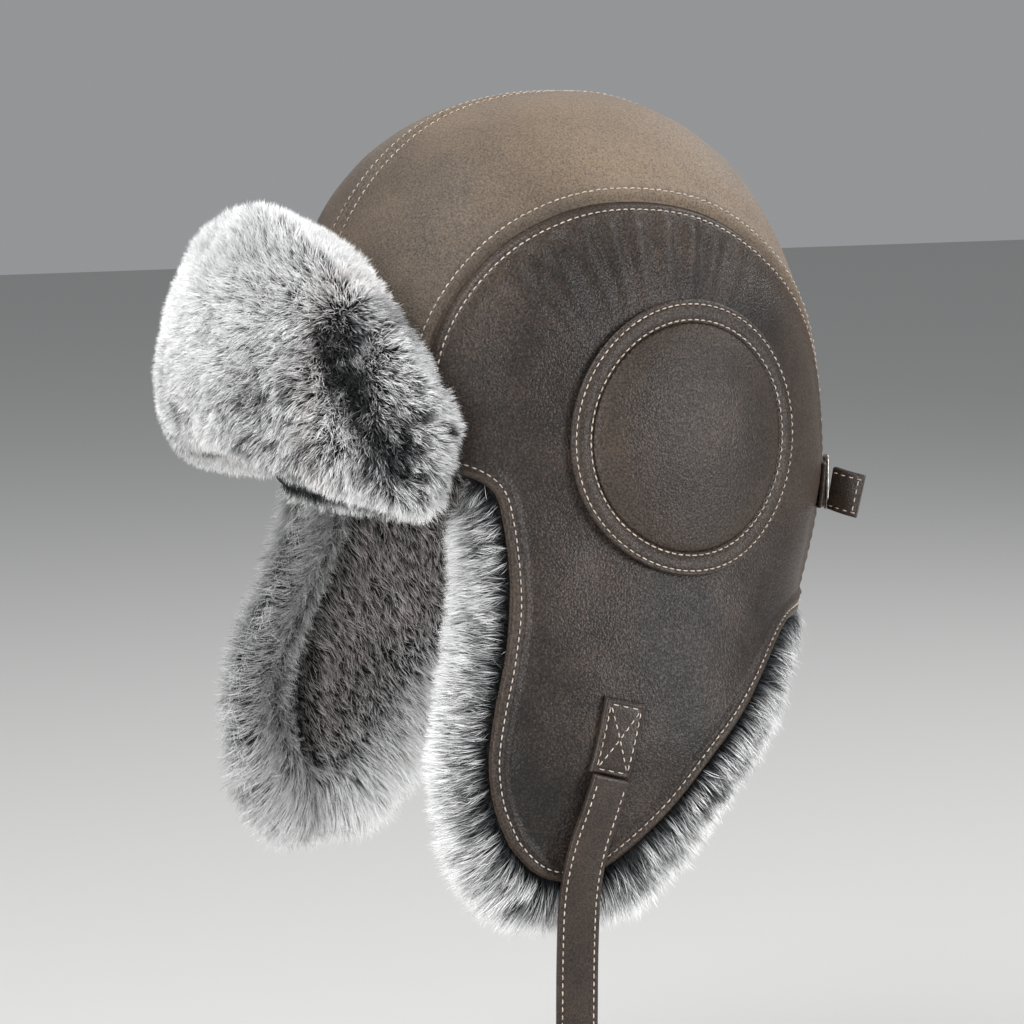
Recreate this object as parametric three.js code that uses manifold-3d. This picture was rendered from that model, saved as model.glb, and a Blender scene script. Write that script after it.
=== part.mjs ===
// A fur-lined leather aviator (trapper) hat: a two-half crown, side panels that run down into
// ear flaps, padded round ear patches, a turned-up fur visor, chin straps with a pin buckle and
// an adjuster strap at the nape. Millimetres, +Z up, the wearer faces -Y, the wearer's left is +X.
// The origin is the centre of the head opening at the level of the forehead edge.
import * as THREE from "three";
import { mergeVertices } from "three/addons/utils/BufferGeometryUtils.js";
import Module from "manifold-3d";

const wasm = await Module();
wasm.setup();

// ---- Driving dimensions, mm ----
const FRONT = 118; // outer half length of the crown, centre to forehead
const BACK = 108; // outer half length, centre to the back of the head
const SIDE = 92; // outer half width
const TOP = 151; // height of the crown over the forehead edge
const PLAN_POWER = 2.3; // squareness of the plan outline
const FOREHEAD_POWER = 2.45; // squareness of the dome at the front
const CROWN_BACK_POWER = 2.2; // and at the back, where it is rounder
const NAPE_TAKE_IN = 16; // how far the back draws in at the nape
const NAPE_DEPTH = 65; // depth below the forehead at which it has drawn in
const FLAP_TAKE_IN = 6; // how far the sides draw in 100 mm below the forehead
const FLARE = 21; // how far the stiff fur then spreads the flaps
const FLARE_DEPTH = 110; // depth below the forehead at which they are fully spread
const FLARE_RIGHT = 14; // the right flap hangs this much wider than the left
const FORWARD_RIGHT = 9; // and this much further forward

const LEATHER = 1.4; // leather thickness
const GAP = 0.4; // clearance between small pieces
const LAYER_GAP = 1.1; // clearance between the big curved layers
const RIM_Z = 14; // the crown's front edge
const FOLD_Z = -58; // the neck edge, and the line on which the ear flaps fold up
const FOLD_X = 102.5; // the fold lies just outside the leather
const INWARD_SWING = THREE.MathUtils.degToRad(10); // how far a flap can press in to the cheek
const PILE = 17; // fur lining of the flaps, backing to tip
const SIDE_PILE = 13; // fur lining behind the side panels
const CROWN_PADDING = 6; // quilted lining of the crown
const FUR_BEYOND = 18; // how far the fur stands past a leather edge

const PATCH = new THREE.Vector2(6, 20); // centre of the round ear patch, y and z
const PATCH_RADIUS = 52.5;
const PAD_RADIUS = 44.2;
const PAD_RISE = 7;

const STRAP_WIDTH = 16.5;
const STRAP_THICKNESS = 2.6;
const STRAP_HINGE_Z = -106; // lower end of the sewn box, where the strap bends
const STRAP_HOLES = 5;

// ---- Materials ----
const finish = (color, roughness, metalness = 0) =>
  new THREE.MeshStandardMaterial({ color, roughness, metalness });
const tanLeather = finish(0x6b5a49, 0.62);
const brownLeather = finish(0x3b302a, 0.5);
const strapLeather = finish(0x2d2420, 0.5);
const greyFur = finish(0xa8a8aa, 0.95);
const quilting = finish(0x2a2a2c, 0.7);
const foam = finish(0x8c8c88, 0.95);
const metal = finish(0x9a9894, 0.35, 1);

// ---- The head form that every panel lies on ----
function halfLengths(z) {
  const down = Math.max(-z, 0);
  const nape = NAPE_TAKE_IN * Math.min(1, down / NAPE_DEPTH) ** 1.5;
  return { front: FRONT, back: BACK - nape, side: SIDE - FLAP_TAKE_IN * (down / 100) ** 2 };
}

// How much the dome has narrowed at height z, 1 at the forehead and 0 at the top.
function domePower(y) {
  const back = THREE.MathUtils.smoothstep(y, -60, 60);
  return between(back, FOREHEAD_POWER, CROWN_BACK_POWER);
}

function narrowing(y, z) {
  if (z <= 0) return 1;
  const power = domePower(y);
  return (1 - Math.min(z / TOP, 1) ** power) ** (1 / power);
}

// 1 on the outer surface of the hat, less inside it and more outside it.
function level(p) {
  const half = halfLengths(p.z);
  const along = Math.abs(p.y) / (p.y < 0 ? half.front : half.back);
  const across = Math.abs(p.x) / half.side;
  const plan = (along ** PLAN_POWER + across ** PLAN_POWER) ** (1 / PLAN_POWER);
  if (p.z <= 0) return plan;
  const power = domePower(p.y);
  return (plan ** power + (p.z / TOP) ** power) ** (1 / power);
}

function outward(p) {
  const step = 0.01;
  const slope = (axis) => {
    const ahead = p.clone();
    const behind = p.clone();
    ahead[axis] += step;
    behind[axis] -= step;
    return level(ahead) - level(behind);
  };
  return new THREE.Vector3(slope("x"), slope("y"), slope("z")).normalize();
}

// The surface point on the ray from the origin through p.
function onHead(p) {
  const found = p.clone();
  for (let pass = 0; pass < 20; pass++) found.divideScalar(level(found));
  return found;
}

// The surface point on the wearer's left with this y and z.
function fromSide(y, z) {
  const half = halfLengths(z);
  const dome = narrowing(y, z);
  const reach = Math.min(Math.abs(y) / ((y < 0 ? half.front : half.back) * dome), 1);
  const x = half.side * dome * (1 - reach ** PLAN_POWER) ** (1 / PLAN_POWER);
  return new THREE.Vector3(x, y, z);
}

// The surface point in the plan direction `degrees` (0 is the left ear, 90 the back) at height z.
function fromAngle(degrees, z) {
  const turn = THREE.MathUtils.degToRad(degrees);
  const p = new THREE.Vector3(Math.cos(turn), Math.sin(turn), 0).multiplyScalar(80);
  for (let pass = 0; pass < 20; pass++) {
    p.z = 0;
    const half = halfLengths(z);
    const along = Math.abs(p.y) / (p.y < 0 ? half.front : half.back);
    const across = Math.abs(p.x) / half.side;
    const plan = (along ** PLAN_POWER + across ** PLAN_POWER) ** (1 / PLAN_POWER);
    p.multiplyScalar(narrowing(p.y, z) / plan);
  }
  p.z = z;
  return p;
}

// Below the forehead the sides spread, all of them at the front and less towards the nape.
function flared(p, amount = FLARE) {
  const { smoothstep } = THREE.MathUtils;
  const spread = amount * smoothstep(-p.z, 0, FLARE_DEPTH) * (1 - smoothstep(p.y, 10, 85));
  p.x += spread * THREE.MathUtils.clamp(p.x / 50, -1, 1);
  return p;
}

// ---- Solids ----
// Only positions, with shared vertices merged and faces turned to point out.
function closed(geometry) {
  const bare = new THREE.BufferGeometry();
  bare.setAttribute("position", geometry.getAttribute("position"));
  bare.setIndex(geometry.getIndex());
  const merged = mergeVertices(bare, 1e-3);
  const at = merged.getAttribute("position");
  const index = merged.getIndex().array;
  const kept = [];
  let volume = 0;
  const [a, b, c] = [new THREE.Vector3(), new THREE.Vector3(), new THREE.Vector3()];
  for (let i = 0; i < index.length; i += 3) {
    const [p, q, r] = [index[i], index[i + 1], index[i + 2]];
    if (p === q || q === r || r === p) continue;
    kept.push(p, q, r);
    a.fromBufferAttribute(at, p);
    b.fromBufferAttribute(at, q);
    c.fromBufferAttribute(at, r);
    volume += a.dot(b.cross(c));
  }
  if (volume < 0) {
    for (let i = 0; i < kept.length; i += 3) [kept[i], kept[i + 1]] = [kept[i + 1], kept[i]];
  }
  merged.setIndex(kept);
  return merged;
}

// Moves every vertex of a geometry through `place`, a function of its position.
function reshaped(geometry, place) {
  const made = geometry.clone();
  const at = made.getAttribute("position");
  const p = new THREE.Vector3();
  for (let i = 0; i < at.count; i++) {
    p.fromBufferAttribute(at, i);
    const to = place(p);
    at.setXYZ(i, to.x, to.y, to.z);
  }
  return closed(made);
}

// A curved sheet: map(u, v) is a point of the head form, and the sheet runs from `inner` to
// `outer` mm outside it. The two may be functions of u and v.
function sheet(map, inner, outer, columns, rows) {
  const amount = (value, u, v) => (typeof value === "function" ? value(u, v) : value);
  const box = new THREE.BoxGeometry(1, 1, 1, columns, rows, 1);
  return reshaped(box, (p) => {
    const [u, v] = [p.x + 0.5, p.y + 0.5];
    const base = map(u, v);
    const out = amount(p.z > 0 ? outer : inner, u, v);
    return flared(base.clone().addScaledVector(outward(base), out));
  });
}

// A flat piece drawn in y and z, with its thickness along x, laid on the left side of the hat.
function draped(geometry) {
  return reshaped(geometry, (p) => {
    const base = fromSide(p.y, p.z);
    return flared(base.clone().addScaledVector(outward(base), p.x));
  });
}

function mirrored(geometry) {
  const { smoothstep } = THREE.MathUtils;
  return reshaped(geometry, (p) => {
    const low = smoothstep(-p.z, 20, FLARE_DEPTH) * (1 - smoothstep(p.y, 20, 75));
    return flared(new THREE.Vector3(-p.x, p.y - FORWARD_RIGHT * low, p.z), FLARE_RIGHT);
  });
}

function solidOf(geometry) {
  const g = closed(geometry);
  const vertProperties = g.getAttribute("position").array;
  return new wasm.Manifold(
    new wasm.Mesh({ numProp: 3, vertProperties, triVerts: new Uint32Array(g.getIndex().array) }),
  );
}

function geometryOf(solid) {
  const mesh = solid.getMesh();
  const made = new THREE.BufferGeometry();
  made.setAttribute("position", new THREE.BufferAttribute(mesh.vertProperties, 3));
  made.setIndex(new THREE.BufferAttribute(mesh.triVerts, 1));
  return made;
}

const cut = (from, tool) => geometryOf(solidOf(from).subtract(solidOf(tool)));
const joined = (...parts) =>
  geometryOf(parts.map(solidOf).reduce((whole, part) => whole.add(part)));

// A four-sided patch from its edge curves, each a function of 0 to 1.
function patch({ bottom, top, left, right }) {
  const corners = [bottom(0), bottom(1), top(0), top(1)];
  return (u, v) => {
    const p = new THREE.Vector3();
    p.addScaledVector(bottom(u), 1 - v).addScaledVector(top(u), v);
    p.addScaledVector(left(v), 1 - u).addScaledVector(right(v), u);
    p.addScaledVector(corners[0], -(1 - u) * (1 - v)).addScaledVector(corners[1], -u * (1 - v));
    return p.addScaledVector(corners[2], -(1 - u) * v).addScaledVector(corners[3], -u * v);
  };
}

const curve = (...points) => {
  const line = new THREE.CatmullRomCurve3(points.map((p) => new THREE.Vector3(...p)));
  return (t) => line.getPoint(THREE.MathUtils.clamp(t, 0, 1));
};
// The same, with equal steps of t giving equal lengths along the curve.
const evenCurve = (...points) => {
  const line = new THREE.CatmullRomCurve3(points.map((p) => new THREE.Vector3(...p)));
  return (t) => line.getPointAt(THREE.MathUtils.clamp(t, 0, 1));
};
const onSide = (...points) => curve(...points.map(([y, z]) => fromSide(y, z).toArray()));
const between = (t, low, high) => low + (high - low) * t;

// ---- Pattern lines of the left half ----
// The long arched seam between crown and side panel, from the temple over the ear to the neck.
const archSeam = curve(
  [62, -96, RIM_Z], [60, -91, 57], [64.5, -70.5, 89], [68.7, -38.4, 106.7], [69.8, -6, 110.5],
  [69, 26, 104.5], [66, 56, 87.5], [59, 77, 66], [52.4, 90.5, 40], [48, 93, -10], [43, 86, FOLD_Z],
);
const BACK_SEAM = 0.8; // share of the arch after which it runs down the back

// The temple edge: from the fold line up to the forehead edge.
const templeEdge = (forward) =>
  onSide(
    [-74 - forward, FOLD_Z], [-70 - forward, -36], [-70.5 - forward * 0.8, -10],
    [-76 - forward * 0.4, 5], [-96, RIM_Z],
  );

const foldLine = (forward) => (t) =>
  fromAngle(between(t, -44.5 - forward * 0.5, 63.4), FOLD_Z);

function sidePatch(forward, upTo = 0.99) {
  const flat = patch({
    bottom: foldLine(forward),
    top: (t) => archSeam(t * BACK_SEAM),
    left: templeEdge(forward),
    right: (t) => archSeam(1 - t * (1 - BACK_SEAM)),
  });
  return (u, v) => onHead(flat(between(u, 0.006, 0.992), between(v, 0.006, upTo)));
}

// Half of the crown, from the arch (t 0) to the centre seam (t 1).
const crownHalf = (s, t) => {
  const edge = archSeam(s);
  return onHead(new THREE.Vector3(edge.x * (1 - t), edge.y, edge.z));
};

// The flap below the fold, in y and z, grown past its leather edge by `grow`.
function flapPatch(grow) {
  const corner = [0, -74 - grow * 0.8, -131 - grow];
  const heel = [0, -34 + grow * 0.4, -140 - grow];
  const flat = patch({
    top: (t) => new THREE.Vector3(0, between(t, -74 - grow, 59 + grow * 0.5), FOLD_Z),
    left: curve(
      corner, [0, -80 - grow, -115 - grow * 0.2], [0, -82 - grow, -98],
      [0, -79.5 - grow, -80], [0, -74 - grow, FOLD_Z],
    ),
    bottom: curve(
      corner, [0, -65 - grow * 0.4, -141.5 - grow * 1.25], [0, -55, -146 - grow * 1.4],
      [0, -45 + grow * 0.2, -145 - grow * 1.3], heel,
    ),
    right: curve(
      heel, [0, -12 + grow * 0.6, -122 - grow * 0.8], [0, 11 + grow * 0.7, -97 - grow * 0.75],
      [0, 37 + grow * 0.7, -74 - grow * 0.6], [0, 59 + grow * 0.5, FOLD_Z],
    ),
  });
  return (u, v) => {
    const p = flat(u, v);
    return fromSide(p.y, p.z);
  };
}

// The wedge that a flap needs free above it to press in to the cheek without binding.
function swingWedge() {
  const block = new THREE.BoxGeometry(140, 400, 60);
  block.translate(-70, 0, 30);
  block.rotateY(-INWARD_SWING);
  block.translate(FOLD_X, 0, FOLD_Z - GAP);
  return block;
}

// ---- Crown and side panels ----
const CENTRE_SEAM = 0.996; // the halves stop just short of each other

const crownPanel = () =>
  sheet((u, v) => crownHalf(u, between(v, 0.014, CENTRE_SEAM)), -LEATHER, 0, 26, 6);
const sidePanel = () => sheet(sidePatch(0), -LEATHER, 0, 16, 12);

const LINING_TOP = -LEATHER - LAYER_GAP;

// A quarter of the quilted lining: `from` to `to` along the arch, on the left of the centre seam.
const LINING_SPLIT = 0.44; // share of the arch at which the front and back quarters meet
const LINING_END = 0.93;

const crownLining = (from, to) =>
  sheet(
    (u, v) => crownHalf(between(u, from, to), between(v, 0.015, 0.995)),
    LINING_TOP - CROWN_PADDING, LINING_TOP, 11, 6,
  );

const sideLining = () =>
  sheet(sidePatch(FUR_BEYOND * 0.8, 0.965), LINING_TOP - SIDE_PILE, LINING_TOP, 12, 9);

// Fur that shows below the neck edge, between the two arch seams.
const neckFur = () =>
  sheet(
    (u, v) => fromAngle(between(u, 65, 115), between(v, FOLD_Z - FUR_BEYOND, FOLD_Z + 14)),
    LINING_TOP - SIDE_PILE, LINING_TOP, 10, 2,
  );

// Fur strip inside the forehead, between the crown's edge and the fold of the visor.
const foreheadFur = () =>
  sheet(
    (u, v) => fromAngle(between(u, -122, -58), between(v, -8, RIM_Z - 1.5)),
    -13, -1, 14, 2,
  );

// ---- Ear patch: leather ring, domed pad and the foam under it ----
function turnedOnSide(profile) {
  const line = profile.map(([radius, height]) => new THREE.Vector2(radius, height));
  const turned = new THREE.LatheGeometry(line, 36);
  turned.rotateZ(-Math.PI / 2); // the lathe axis now points out, along +x
  turned.translate(0, PATCH.x, PATCH.y);
  return draped(turned);
}

const earRing = () =>
  turnedOnSide([
    [PAD_RADIUS + 0.5, GAP], [PATCH_RADIUS, GAP], [PATCH_RADIUS, 1.6],
    [PAD_RADIUS + 0.5, 1.9], [PAD_RADIUS + 0.5, GAP],
  ]);

const padHeight = (radius) => 1.9 + (PAD_RISE - 1.9) * (1 - (radius / PAD_RADIUS) ** 2.6);
const padSteps = [0, 0.3, 0.55, 0.75, 0.9, 1];

const earPad = () =>
  turnedOnSide([
    ...padSteps.map((share) => [share * PAD_RADIUS, padHeight(share * PAD_RADIUS) - LEATHER]),
    ...padSteps.toReversed().map((share) => [share * PAD_RADIUS, padHeight(share * PAD_RADIUS)]),
  ]);

function earFoam() {
  const radius = PAD_RADIUS - 3;
  const under = LEATHER + GAP;
  const base = 2 * GAP; // clear of the panel's facets
  return turnedOnSide([
    ...padSteps.map((share) => [share * radius, base]),
    ...padSteps.toReversed().map((share) => {
      const height = padHeight(share * radius) - under;
      return [share * radius, Math.max(height, base + 0.3)];
    }),
  ]);
}

// ---- Visor ----
const VISOR_SPREAD = 42.5; // degrees either side of straight ahead
const VISOR_OFF_CROWN = 4.6; // the turned-up leather stands this far off the crown
const VISOR_PUFF = 43; // fur and fold at the fullest point
const visorBottom = (u) => 12 - 23 * Math.abs(u) ** 1.3;
const visorTop = (u) => 100 - 90 * Math.abs(u) ** 2.3;

// u runs -1 to 1 from temple to temple and v 0 to 1 up the visor.
const visorBase = (u, v) => {
  const rounded = Math.sign(u) * Math.abs(u) ** 0.92;
  return fromAngle(-90 + rounded * VISOR_SPREAD, between(v, visorBottom(u), visorTop(u)));
};

const visorLeather = () =>
  sheet(
    (u, v) => visorBase(between(u, -0.97, 0.97), between(v, 0.04, 0.97)),
    VISOR_OFF_CROWN, VISOR_OFF_CROWN + LEATHER, 18, 7,
  );

function visorFur() {
  const back = VISOR_OFF_CROWN + LEATHER + GAP;
  const puff = (u, v) => {
    const side = between(u, -1, 1);
    const round = Math.sqrt(Math.max(1 - Math.abs(2 * (v * 0.94 + 0.04) - 1) ** 3, 0.02));
    const ends = (1 - Math.abs(side) ** 5) ** 0.5;
    return back + 7 + (VISOR_PUFF - 7) * round * (0.18 + 0.82 * ends) * (1 - 0.35 * side * side);
  };
  return sheet((u, v) => visorBase(between(u, -1, 1), v), back, puff, 20, 10);
}

// ---- Snap fastener that holds the visor up ----
const SNAP_Z = 62;

function snapHalf(radius, from, to) {
  const base = fromAngle(-90, SNAP_Z);
  const disc = new THREE.CylinderGeometry(radius, radius, to - from, 20);
  disc.translate(0, (from + to) / 2, 0);
  const turn = new THREE.Quaternion().setFromUnitVectors(new THREE.Vector3(0, 1, 0), outward(base));
  disc.applyQuaternion(turn);
  disc.translate(base.x, base.y, base.z);
  return disc;
}

// ---- Ear flaps ----
const flapLeather = () => cut(sheet(flapPatch(0), -LEATHER, 0, 14, 14), swingWedge());
const flapFur = (beyond) =>
  cut(sheet(flapPatch(beyond), LINING_TOP - PILE, LINING_TOP, 12, 12), swingWedge());

// ---- Chin straps ----
const STRAP_LEAN = THREE.MathUtils.degToRad(15); // the sewn box leans forward going down
const BOX_LENGTH = 29;
const BOX_FOOT = new THREE.Vector2(-39.2, STRAP_HINGE_Z + 1.7); // y and z

function strapBox() {
  const box = new THREE.BoxGeometry(STRAP_THICKNESS, STRAP_WIDTH, BOX_LENGTH, 1, 3, 5);
  box.translate(GAP + STRAP_THICKNESS / 2, 0, BOX_LENGTH / 2);
  box.rotateX(-STRAP_LEAN);
  box.translate(0, BOX_FOOT.x, BOX_FOOT.y);
  return draped(box);
}

// Centre line of the long left strap: over the flap, then straight down.
const longStrapLine = evenCurve(
  [106.6, -39.5, STRAP_HINGE_Z - GAP], [105, -43, -118], [102.5, -47, -133], [100.8, -49.5, -150],
  [99.8, -50, -172], [99.4, -50, -205], [99.2, -50, -245], [99, -50, -289],
);

// A strap drawn flat (x across, y down its length, z its thickness) laid along a centre line.
function laidStrap(flat, line, length) {
  return reshaped(flat, (p) => {
    const t = p.y / length;
    const centre = line(t);
    const run = line(Math.min(t + 0.01, 1)).sub(line(Math.max(t - 0.01, 0))).normalize();
    const across = new THREE.Vector3(0, 1, 0).addScaledVector(run, -run.y).normalize();
    const out = run.clone().cross(across).negate();
    if (out.x < 0) out.negate();
    return centre.addScaledVector(across, p.x).addScaledVector(out, p.z);
  });
}

const LONG_STRAP = 183; // free length of the left strap below its sewn box
const POINT = 14; // length of its pointed end
const HOLE_PITCH = 14;

function longStrap() {
  const body = new THREE.BoxGeometry(STRAP_WIDTH, LONG_STRAP, STRAP_THICKNESS, 2, 26, 1);
  body.translate(0, LONG_STRAP / 2, 0);
  const narrowed = reshaped(body, (p) => {
    const toEnd = LONG_STRAP - p.y;
    const share = toEnd < POINT ? between(toEnd / POINT, 0.3, 1) : 1;
    return new THREE.Vector3(p.x * share, p.y, p.z);
  });
  let strap = narrowed;
  for (let i = 0; i < STRAP_HOLES; i++) {
    const punch = new THREE.CylinderGeometry(1.7, 1.7, 10, 10);
    punch.rotateX(Math.PI / 2);
    punch.translate(0, LONG_STRAP - 24 - i * HOLE_PITCH, 0);
    strap = cut(strap, punch);
  }
  return laidStrap(strap, longStrapLine, LONG_STRAP);
}

// The short right strap, made on the left and mirrored: a loop round the buckle's bar.
const BAR = new THREE.Vector3(108.4, -41, -129); // centre of the buckle's bar
const BAR_RADIUS = 1.1;
const LOOP_INSIDE = BAR_RADIUS + 0.5;
const LAYER = 1.2; // one leather layer of the folded strap

function shortStrap() {
  const high = STRAP_HINGE_Z - GAP - BAR.z;
  const profile = new THREE.Shape();
  profile.absarc(0, 0, LOOP_INSIDE + LAYER, Math.PI, 2 * Math.PI, false);
  profile.lineTo(LOOP_INSIDE + LAYER, high - 6);
  profile.lineTo(1.6, high);
  profile.lineTo(-1.2, high);
  profile.lineTo(-LOOP_INSIDE - LAYER, high - 6);
  profile.closePath();
  const hollow = new THREE.Path();
  hollow.absarc(0, 0, LOOP_INSIDE, 0, 2 * Math.PI, true);
  profile.holes.push(hollow);
  const flat = new THREE.ExtrudeGeometry(profile, {
    depth: STRAP_WIDTH, bevelEnabled: false, curveSegments: 8,
  });
  flat.rotateX(Math.PI / 2);
  flat.translate(BAR.x, BAR.y + STRAP_WIDTH / 2, BAR.z);
  const slot = new THREE.BoxGeometry(12, 4.4, 12);
  slot.translate(BAR.x, BAR.y, BAR.z - 2);
  return cut(flat, slot);
}

function strapKeeper() {
  const outline = new THREE.Shape();
  const [wide, deep] = [STRAP_WIDTH / 2 + 2, 4.6];
  outline.moveTo(-deep, -wide).lineTo(deep, -wide).lineTo(deep, wide).lineTo(-deep, wide);
  const inside = new THREE.Path();
  const [inWide, inDeep] = [wide - 1.2, deep - 1.2];
  inside.moveTo(-inDeep, -inWide).lineTo(-inDeep, inWide).lineTo(inDeep, inWide);
  inside.lineTo(inDeep, -inWide);
  outline.holes.push(inside);
  const ring = new THREE.ExtrudeGeometry(outline, { depth: 6, bevelEnabled: false });
  ring.translate(BAR.x, BAR.y, BAR.z + 7);
  return ring;
}

const FRAME_WIDE = 26; // buckle, outside width along the bar
const FRAME_HIGH = 19;
const WIRE = 2.2;

const rod = (length, radius, sides = 10) => new THREE.CylinderGeometry(radius, radius, length, sides);

// A rectangular loop of round wire, its upper side on the bar's axis, hanging down in y and z.
function buckleFrame() {
  const bar = rod(FRAME_WIDE, BAR_RADIUS);
  const foot = rod(FRAME_WIDE, WIRE / 2);
  foot.translate(0, 0, -FRAME_HIGH);
  const sides = [-1, 1].map((end) => {
    const side = rod(FRAME_HIGH + WIRE, WIRE / 2);
    side.rotateX(Math.PI / 2);
    side.translate(0, (end * (FRAME_WIDE - WIRE)) / 2, -FRAME_HIGH / 2);
    return side;
  });
  const frame = joined(bar, foot, ...sides);
  frame.translate(BAR.x, BAR.y, BAR.z);
  return frame;
}

// The pin: an eye round the bar and a tongue that rests on the foot of the frame.
function bucklePin() {
  const eye = new THREE.LatheGeometry(
    [[1.45, -1.4], [3, -1.4], [3, 1.4], [1.45, 1.4], [1.45, -1.4]].map(
      ([r, h]) => new THREE.Vector2(r, h),
    ),
    14,
  );
  const tongue = new THREE.BoxGeometry(1.5, 2.2, FRAME_HIGH + 1.2);
  tongue.translate(2.15, 0, -FRAME_HIGH / 2 - 1);
  const pin = joined(eye, tongue);
  pin.translate(BAR.x, BAR.y, BAR.z);
  return pin;
}

// ---- Nape adjuster ----
const ADJUSTER_Z = -8;
const ADJUSTER_WIDTH = 18;
const RING_ANGLE = 66; // plan direction of the wire ring, left of centre back
const TAIL_LENGTH = 12;

const adjusterBand = (from, to) =>
  sheet(
    (u, v) => {
      const z = ADJUSTER_Z + between(v, -0.5, 0.5) * ADJUSTER_WIDTH;
      return fromAngle(between(u, from, to), z);
    },
    GAP, GAP + 2.2, 14, 1,
  );

const ringCentre = (() => {
  const p = fromAngle(RING_ANGLE, ADJUSTER_Z);
  return p.addScaledVector(outward(p), 3.9);
})();
const ringTurn = Math.atan2(outward(ringCentre).x, outward(ringCentre).y);

// A flat rectangular wire ring standing on the surface at the nape.
function adjusterRing() {
  const [wide, high] = [7.4, ADJUSTER_WIDTH + 5];
  const upright = [-1, 1].map((end) => {
    const side = rod(high, 1);
    side.rotateX(Math.PI / 2);
    side.translate((end * (wide - 2)) / 2, 0, 0);
    return side;
  });
  const across = [-1, 1].map((end) => {
    const side = rod(wide, 1);
    side.rotateZ(Math.PI / 2);
    side.translate(0, 0, (end * (high - 2)) / 2);
    return side;
  });
  const ring = joined(...upright, ...across);
  ring.rotateZ(-ringTurn);
  ring.translate(ringCentre.x, ringCentre.y, ringCentre.z);
  return ring;
}

// The loose tail of the adjuster, standing off the head past the ring.
const TAIL_START = new THREE.Vector3(53, 100.5, ADJUSTER_Z);
const TAIL_DIRECTION = new THREE.Vector3(0.86, 0.51, -0.2).normalize();

function adjusterTail() {
  const tail = new THREE.BoxGeometry(TAIL_LENGTH, 3.4, ADJUSTER_WIDTH, 6, 1, 1);
  tail.translate(TAIL_LENGTH / 2, 0, 0);
  tail.applyQuaternion(
    new THREE.Quaternion().setFromUnitVectors(new THREE.Vector3(1, 0, 0), TAIL_DIRECTION),
  );
  tail.translate(TAIL_START.x, TAIL_START.y, TAIL_START.z);
  return closed(tail);
}

// ---- The assembly ----
const hat = new THREE.Group();

function add(name, geometry, material) {
  const mesh = new THREE.Mesh(closed(geometry), material);
  mesh.name = name;
  hat.add(mesh);
}

function addPair(name, geometry, material) {
  add(`${name}_left`, geometry, material);
  add(`${name}_right`, mirrored(geometry), material);
}

addPair("crown_panel", crownPanel(), tanLeather);
addPair("side_panel", sidePanel(), brownLeather);
addPair("crown_lining_front", crownLining(0, LINING_SPLIT - 0.003), quilting);
addPair("crown_lining_back", crownLining(LINING_SPLIT + 0.003, LINING_END), quilting);
addPair("side_lining", sideLining(), greyFur);
add("neck_fur", neckFur(), greyFur);
add("forehead_fur", foreheadFur(), greyFur);
addPair("ear_ring", earRing(), brownLeather);
addPair("ear_pad", earPad(), brownLeather);
addPair("ear_foam", earFoam(), foam);

add("visor_leather", visorLeather(), brownLeather);
add("visor_fur", visorFur(), greyFur);
add("snap_stud", snapHalf(4.5, GAP, 2), metal);
add("snap_socket", snapHalf(6, 2.3, VISOR_OFF_CROWN - 0.6), metal);

addPair("flap_leather", flapLeather(), brownLeather);
add("flap_fur_left", flapFur(FUR_BEYOND), greyFur);
add("flap_fur_right", mirrored(flapFur(FUR_BEYOND + 4)), greyFur);
addPair("strap_box", strapBox(), strapLeather);
add("chin_strap_left", longStrap(), strapLeather);
add("chin_strap_right", mirrored(shortStrap()), strapLeather);
add("strap_keeper", mirrored(strapKeeper()), strapLeather);
add("buckle_frame", mirrored(buckleFrame()), metal);
add("buckle_pin", mirrored(bucklePin()), metal);

add("adjuster_strap", adjusterBand(112, RING_ANGLE + 2), strapLeather);
add("adjuster_tab", adjusterBand(RING_ANGLE - 2.5, RING_ANGLE - 8), strapLeather);
add("adjuster_ring", adjusterRing(), metal);
add("adjuster_tail", adjusterTail(), strapLeather);

export default hat;
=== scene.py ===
"""A trapper hat: imitation leather outside, long-pile imitation fur inside, visor turned up.

The wearer faces -Y, the wearer's left is +X and the crown is up. Shapes are worked out in
millimetres on a smooth head form, and every mesh is turned to metres as it is made.
"""

import math

import bmesh
import bpy
import numpy as np
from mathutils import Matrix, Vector, noise
from mathutils.kdtree import KDTree


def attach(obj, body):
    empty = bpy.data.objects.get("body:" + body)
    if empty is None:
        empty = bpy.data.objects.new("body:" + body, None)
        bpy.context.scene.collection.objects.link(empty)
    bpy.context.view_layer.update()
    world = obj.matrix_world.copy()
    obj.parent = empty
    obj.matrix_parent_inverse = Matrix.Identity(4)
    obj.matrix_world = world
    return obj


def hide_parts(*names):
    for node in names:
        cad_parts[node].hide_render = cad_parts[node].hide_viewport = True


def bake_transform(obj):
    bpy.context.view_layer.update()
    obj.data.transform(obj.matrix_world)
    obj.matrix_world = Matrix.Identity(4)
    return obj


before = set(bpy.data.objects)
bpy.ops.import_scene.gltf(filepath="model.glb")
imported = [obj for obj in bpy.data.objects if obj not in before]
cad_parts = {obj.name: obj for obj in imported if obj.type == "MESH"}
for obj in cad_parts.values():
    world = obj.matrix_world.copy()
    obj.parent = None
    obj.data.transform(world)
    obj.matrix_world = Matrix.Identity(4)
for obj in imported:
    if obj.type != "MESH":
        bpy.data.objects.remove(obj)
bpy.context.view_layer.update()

MM = 0.001

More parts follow.
